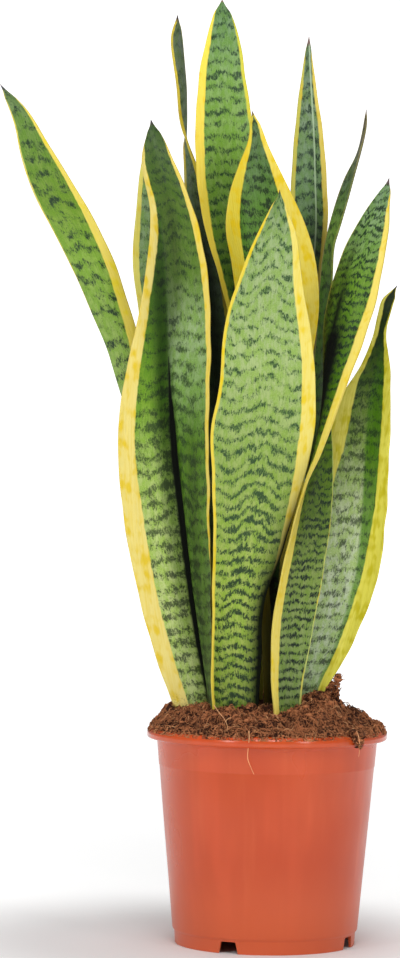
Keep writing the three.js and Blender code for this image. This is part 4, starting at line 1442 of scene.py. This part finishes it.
def strand(path, radius, sides):
    """Points and faces of a thin closed strand along a path, half as thick at its end."""
    points = []
    for index, spot in enumerate(path):
        ahead = path[min(index + 1, len(path) - 1)] - path[max(index - 1, 0)]
        ahead.normalize()
        side = ahead.cross(Vector((0.31, 0.17, 0.93))).normalized()
        up = ahead.cross(side)
        share = index / (len(path) - 1)
        here = radius * (1 - 0.5 * share)
        for a in range(sides):
            turn = a * math.tau / sides
            rim = spot + side * (here * math.cos(turn)) + up * (here * math.sin(turn))
            points.append(rim[:])
    faces = grid_faces(len(path), sides)
    faces.append(tuple(reversed(range(sides))))
    faces.append(tuple(range(len(points) - sides, len(points))))
    return points, faces


def fibre_path(draw, spot, length, lift):
    """A wandering path over the heap and the lip that starts and ends on them."""
    edge = LIP_EDGE - 0.4
    heading = draw.uniform(0, math.tau)
    path, here = [], spot.copy()
    for index in range(FIBRE_STEPS):
        share = index / (FIBRE_STEPS - 1)
        rise = lift * rim_share(here.x, here.y) * math.sin(math.pi * share) - 0.2
        path.append(Vector((here.x, here.y, ground_at(here.x, here.y) + rise)))
        heading += draw.uniform(-0.9, 0.9)
        here = here + Vector((math.cos(heading), math.sin(heading), 0)) * (length / FIBRE_STEPS)
        reach = math.hypot(here.x, here.y)
        if reach > edge:
            here = here * (edge / reach)
    return path


def make_fibres(settings):
    """Short peat fibres, most lying on the heap and some standing up out of it."""
    draw = random.Random(FIBRE_SEED)
    litter = Litter()
    for index in range(settings.fibres):
        spot = spot_on_lip(draw) if index % 6 == 0 else spot_on_heap(draw)
        length = draw.uniform(4, 13)
        lift = draw.choice((0.7, 1.2, 2.0, 3.0)) * draw.uniform(0.5, 1.2)
        path = fibre_path(draw, spot, length, lift)
        fibre = strand(path, draw.uniform(0.15, 0.6), 3)
        litter.add(*fibre, draw.random())
    litter.build("soil_fibres", peat_material("peat_fibres", settings, 0.05))


def random_way(draw, spread=1.0):
    """A random vector, of about spread along each axis."""
    return Vector([draw.gauss(0, spread) for _ in range(3)])


def wad_path(draw, middle, reach):
    """A short wandering path that starts somewhere in a wad."""
    outward = random_way(draw).normalized()
    outward *= draw.uniform(0.1, 1.0) ** 0.5
    here = Vector(middle) + Vector([a * b for a, b in zip(outward, reach)])
    heading = random_way(draw).normalized()
    path = []
    for _ in range(WAD_FIBRE_STEPS):
        path.append(here.copy())
        heading = (heading + random_way(draw, 0.45)).normalized()
        here += heading * draw.uniform(0.3, 0.8)
    return path


def make_wads(settings):
    """Matted lumps of fibre and crumbs: over the lip and at the right leaf's foot."""
    draw = random.Random(WAD_SEED)
    corners, fans = crumb_shape()
    litter = Litter()
    for middle, reach, count in WADS:
        for _ in range(count // 5):
            spot = [a + b * draw.uniform(-0.75, 0.75) for a, b in zip(middle, reach)]
            crumb = crumb_points(draw, corners, spot, draw.uniform(1.0, 2.4))
            litter.add(crumb, fans, draw.random() * 0.7)
        for _ in range(count):
            path = wad_path(draw, middle, reach)
            fibre = strand(path, draw.uniform(0.18, 0.6), 4)
            litter.add(*fibre, draw.random() * 0.9)
    litter.build("soil_wads", peat_material("peat_wads", settings))


def make_roots(settings):
    """The few pale root threads that lie on the soil and hang over the lip."""
    material = root_material(settings)
    for name, spots in ROOT_THREADS.items():
        table = [(at, *spot) for at, spot in zip(np.linspace(0, 1, len(spots)), spots)]
        path = [Vector(row) for row in curve(table, np.linspace(0, 1, ROOT_STEPS))]
        add_piece(name, *strand(path, ROOT_RADIUS, 8), material)


# ---- Settings ----


class PotSettings(bpy.types.PropertyGroup):
    color: FloatVectorProperty(
        name="Plastic colour",
        description="Colour of the pot's plastic",
        subtype="COLOR",
        min=0,
        max=1,
        default=linear((202, 77, 26))[:3],
    )
    sides: IntProperty(
        name="Sides",
        description="How many flats make the pot's round wall",
        default=224,
        min=48,
    )


class SoilSettings(bpy.types.PropertyGroup):
    # The darker peat, which also paints the shade in the pits.
    dark: FloatVectorProperty(
        name="Damp peat",
        description="Colour of the peat in its pits",
        subtype="COLOR",
        min=0,
        max=1,
        default=linear((62, 31, 18))[:3],
    )
    light: FloatVectorProperty(
        name="Dry peat",
        description="Colour of the peat where it is dry",
        subtype="COLOR",
        min=0,
        max=1,
        default=linear((200, 128, 84))[:3],
    )
    straw: FloatVectorProperty(
        name="Fibre",
        description="Colour of the palest fibres and roots",
        subtype="COLOR",
        min=0,
        max=1,
        default=linear((226, 166, 116))[:3],
    )
    crumbs: IntProperty(
        name="Crumbs",
        description="How many loose crumbs lie on the heap",
        default=3600,
        min=0,
    )
    crumb_size: FloatProperty(
        name="Crumb size",
        description="Radius of the largest crumb",
        subtype="DISTANCE",
        default=0.0032,
        min=0,
    )
    fibres: IntProperty(
        name="Fibres",
        description="How many short fibres lie on the heap",
        default=5200,
        min=0,
    )


class LeafSettings(bpy.types.PropertyGroup):
    rings: IntProperty(
        name="Rings",
        description="How many rings of points a leaf has from foot to tip",
        default=130,
        min=20,
    )
    around: IntProperty(
        name="Points round",
        description="How many points go round a leaf's section",
        default=72,
        min=12,
    )
    point_length: FloatProperty(
        name="Point length (mm)",
        description="How far below its tip a leaf starts to narrow to a point",
        default=9,
        min=1,
    )
    slot_depth: FloatProperty(
        name="Slot depth (mm)",
        description="How deep the narrow fold in the front left leaf goes",
        default=6,
        min=0,
    )
    slot_width: FloatProperty(
        name="Slot width (mm)",
        description="Half the width of the narrow fold in the front left leaf",
        default=3,
        min=0.5,
    )
    thickness: FloatProperty(
        name="Thickness (mm)",
        description="How thick a leaf is in the middle",
        default=3.2,
        min=1,
    )
    edge_thickness: FloatProperty(
        name="Edge thickness (mm)",
        description="How thick a leaf is at its edge",
        default=0.9,
        min=0.6,
    )
    foot_thickness: FloatProperty(
        name="Foot thickness (mm)",
        description="How thick a leaf is where it leaves the soil",
        default=5.4,
        min=1,
    )
    foot_fade: FloatProperty(
        name="Foot length (mm)",
        description="How far up the thick foot reaches",
        default=120,
        min=1,
    )
    rib_height: FloatProperty(
        name="Rib height",
        description="Height of the fine lengthwise ribs",
        subtype="DISTANCE",
        default=0.00012,
        min=0,
    )


class StageSettings(bpy.types.PropertyGroup):
    floor_color: FloatVectorProperty(
        name="Floor",
        description="Colour of the floor",
        subtype="COLOR",
        min=0,
        max=1,
        default=(0.9, 0.9, 0.9),
    )
    camera_distance: FloatProperty(
        name="Camera distance",
        description="Distance from the camera to the pot's axis",
        subtype="DISTANCE",
        default=2.6,
        min=0.5,
    )
    camera_height: FloatProperty(
        name="Camera height",
        description="Height of the camera over the floor",
        subtype="DISTANCE",
        default=0.375,
    )
    camera_side: FloatProperty(
        name="Camera offset",
        description="How far the camera stands to the right of the pot's axis",
        subtype="DISTANCE",
        default=-0.0503,
    )
    ambient: FloatProperty(
        name="Ambient light",
        description="Strength of the even white light from all round",
        default=0.34,
        min=0,
    )
    softbox_power: FloatProperty(
        name="Softbox power",
        description="Power of the soft light at the left; the right one has about two thirds",
        subtype="POWER",
        default=12,
        min=0,
    )
    top_power: FloatProperty(
        name="Top light power",
        description="Power of the soft light over the plant",
        subtype="POWER",
        default=9,
        min=0,
    )
    front_power: FloatProperty(
        name="Front light power",
        description="Power of the high soft light at the front, which reaches between the leaves",
        subtype="POWER",
        default=14,
        min=0,
    )


class PlantSettings(bpy.types.PropertyGroup):
    pot: PointerProperty(type=PotSettings)
    soil: PointerProperty(type=SoilSettings)
    leaf: PointerProperty(type=LeafSettings)
    stage: PointerProperty(type=StageSettings)


# ---- Stage ----


def add_area_light(name, spot, size, power):
    """A soft white rectangular light that faces the middle of the plant."""
    light = bpy.data.lights.new(name, "AREA")
    light.shape = "RECTANGLE"
    light.size, light.size_y = size
    light.energy = power
    lamp = bpy.data.objects.new(name, light)
    lamp.location = spot
    way = Vector(LIGHTS_AIM) - Vector(spot)
    lamp.rotation_euler = way.to_track_quat("-Z", "Y").to_euler()
    bpy.context.scene.collection.objects.link(lamp)


def add_lights(settings):
    """A softbox on each side of the camera, a light over the plant and one high at the front."""
    for name, angle, share in SOFTBOXES:
        turn = math.radians(angle)
        side, back = SOFTBOX_DISTANCE * math.sin(turn), -SOFTBOX_DISTANCE * math.cos(turn)
        spot = (side, back, SOFTBOX_HEIGHT)
        add_area_light(name, spot, SOFTBOX_SIZE, settings.softbox_power * share)
    add_area_light("top", TOP_SPOT, TOP_SIZE, settings.top_power)
    add_area_light("front", FRONT_SPOT, FRONT_SIZE, settings.front_power)


def add_sky(settings):
    """Even white light from all round."""
    world = bpy.data.worlds.new("studio")
    world.use_nodes = True
    sky = world.node_tree.nodes["Background"].inputs
    sky["Color"].default_value = WHITE
    sky["Strength"].default_value = settings.ambient
    bpy.context.scene.world = world


def add_ground(name, profile, material):
    """A part of the studio turned round the origin, from a profile of (radius, height)."""
    turns = [math.tau * side / STUDIO_SIDES for side in range(STUDIO_SIDES)]
    points = [(r * math.cos(turn), r * math.sin(turn), z) for r, z in profile for turn in turns]
    faces = grid_faces(len(profile), STUDIO_SIDES, flip=True)
    ground = add_object(name, points, faces, material)
    return ground


def add_studio(settings):
    """A pale round floor, and a white backdrop all round it that curves up far from the plant."""
    add_ground("floor", [(0, 0), (1, 0), (FLOOR_RADIUS, 0)], floor_material(settings))
    bend = BACKDROP_RADIUS - BACKDROP_BEND
    profile = [(FLOOR_RADIUS - 0.1, -0.002), (bend, 0)]
    profile += arc((bend, BACKDROP_BEND), BACKDROP_BEND, -80, 0, 9)
    profile.append((BACKDROP_RADIUS, BACKDROP_HEIGHT))
    backdrop = add_ground("backdrop", profile, backdrop_material())
    backdrop.visible_diffuse = False
    backdrop.visible_glossy = False


def add_camera(settings):
    """The camera at the photograph's angle: level with the plant's middle, tipped a little down."""
    camera = bpy.data.cameras.new("camera")
    camera.sensor_width = SENSOR_WIDTH
    camera.lens = FOCAL_PIXELS * SENSOR_WIDTH / PHOTO_HEIGHT
    view = bpy.data.objects.new("camera", camera)
    side = POT_AXIS[0] + settings.camera_side
    view.location = (side, -settings.camera_distance, settings.camera_height)
    view.rotation_euler = (math.pi / 2 - math.atan(SIGHT_DROP / FOCAL_PIXELS), CAMERA_ROLL, 0)
    bpy.context.scene.collection.objects.link(view)
    bpy.context.scene.camera = view


# ---- Operators ----


class PLANT_OT_pot(bpy.types.Operator):
    """Makes the nursery pot with its lip, foot ring and drain notches"""

    bl_idname = "plant.make_pot"
    bl_label = "Pot"

    def execute(self, context):
        settings = context.scene.plant.pot
        profile = pot_profile()
        points = turned_points(profile, settings.sides)
        faces = turned_faces(len(profile), settings.sides)
        piece = add_piece("nursery_pot", points, faces, pot_material(settings), "pot")
        cut(piece, drain_cutter())
        piece.data.shade_smooth()
        piece.data.set_sharp_from_angle(angle=SHARP_ANGLE)
        return {"FINISHED"}


class PLANT_OT_soil(bpy.types.Operator):
    """Makes the heap of peat with its crumbs and fibres"""

    bl_idname = "plant.make_soil"
    bl_label = "Soil"

    def execute(self, context):
        settings = context.scene.plant.soil
        make_soil(settings)
        make_crumbs(settings)
        make_fibres(settings)
        make_wads(settings)
        return {"FINISHED"}


class PLANT_OT_roots(bpy.types.Operator):
    """Makes the loose root threads on the soil and over the lip"""

    bl_idname = "plant.make_roots"
    bl_label = "Root threads"

    def execute(self, context):
        make_roots(context.scene.plant.soil)
        return {"FINISHED"}


class PLANT_OT_leaves(bpy.types.Operator):
    """Makes the sword leaves"""

    bl_idname = "plant.make_leaves"
    bl_label = "Leaves"

    def execute(self, context):
        for leaf in LEAVES:
            make_leaf(leaf, context.scene.plant.leaf)
        return {"FINISHED"}


class PLANT_OT_stage(bpy.types.Operator):
    """Makes the floor, the lights and the camera"""

    bl_idname = "plant.make_stage"
    bl_label = "Stage"

    def execute(self, context):
        settings = context.scene.plant.stage
        add_camera(settings)
        add_studio(settings)
        add_sky(settings)
        add_lights(settings)
        context.scene.view_settings.view_transform = "Standard"
        return {"FINISHED"}


class PLANT_PT_panel(bpy.types.Panel):
    """Lists the plant's pieces and their sizes and colours"""

    bl_idname = "PLANT_PT_panel"
    bl_label = "Potted snake plant"
    bl_space_type = "VIEW_3D"
    bl_region_type = "UI"
    bl_category = "Plant"

    def draw(self, context):
        plant = context.scene.plant
        for maker, group in (
            (PLANT_OT_pot, plant.pot),
            (PLANT_OT_soil, plant.soil),
            (PLANT_OT_roots, None),
            (PLANT_OT_leaves, plant.leaf),
            (PLANT_OT_stage, plant.stage),
        ):
            box = self.layout.box()
            box.operator(maker.bl_idname)
            if group is not None:
                for name in group.__annotations__:
                    box.prop(group, name)


CLASSES = (
    PotSettings,
    SoilSettings,
    LeafSettings,
    StageSettings,
    PlantSettings,
    PLANT_OT_pot,
    PLANT_OT_soil,
    PLANT_OT_roots,
    PLANT_OT_leaves,
    PLANT_OT_stage,
    PLANT_PT_panel,
)


def register():
    for cls in CLASSES:
        bpy.utils.register_class(cls)
    bpy.types.Scene.plant = PointerProperty(type=PlantSettings)


def unregister():
    del bpy.types.Scene.plant
    for cls in reversed(CLASSES):
        bpy.utils.unregister_class(cls)


def main():
    register()
    bpy.ops.plant.make_pot()
    bpy.ops.plant.make_soil()
    bpy.ops.plant.make_roots()
    bpy.ops.plant.make_leaves()
    bpy.ops.plant.make_stage()


if __name__ == "__main__":
    main()
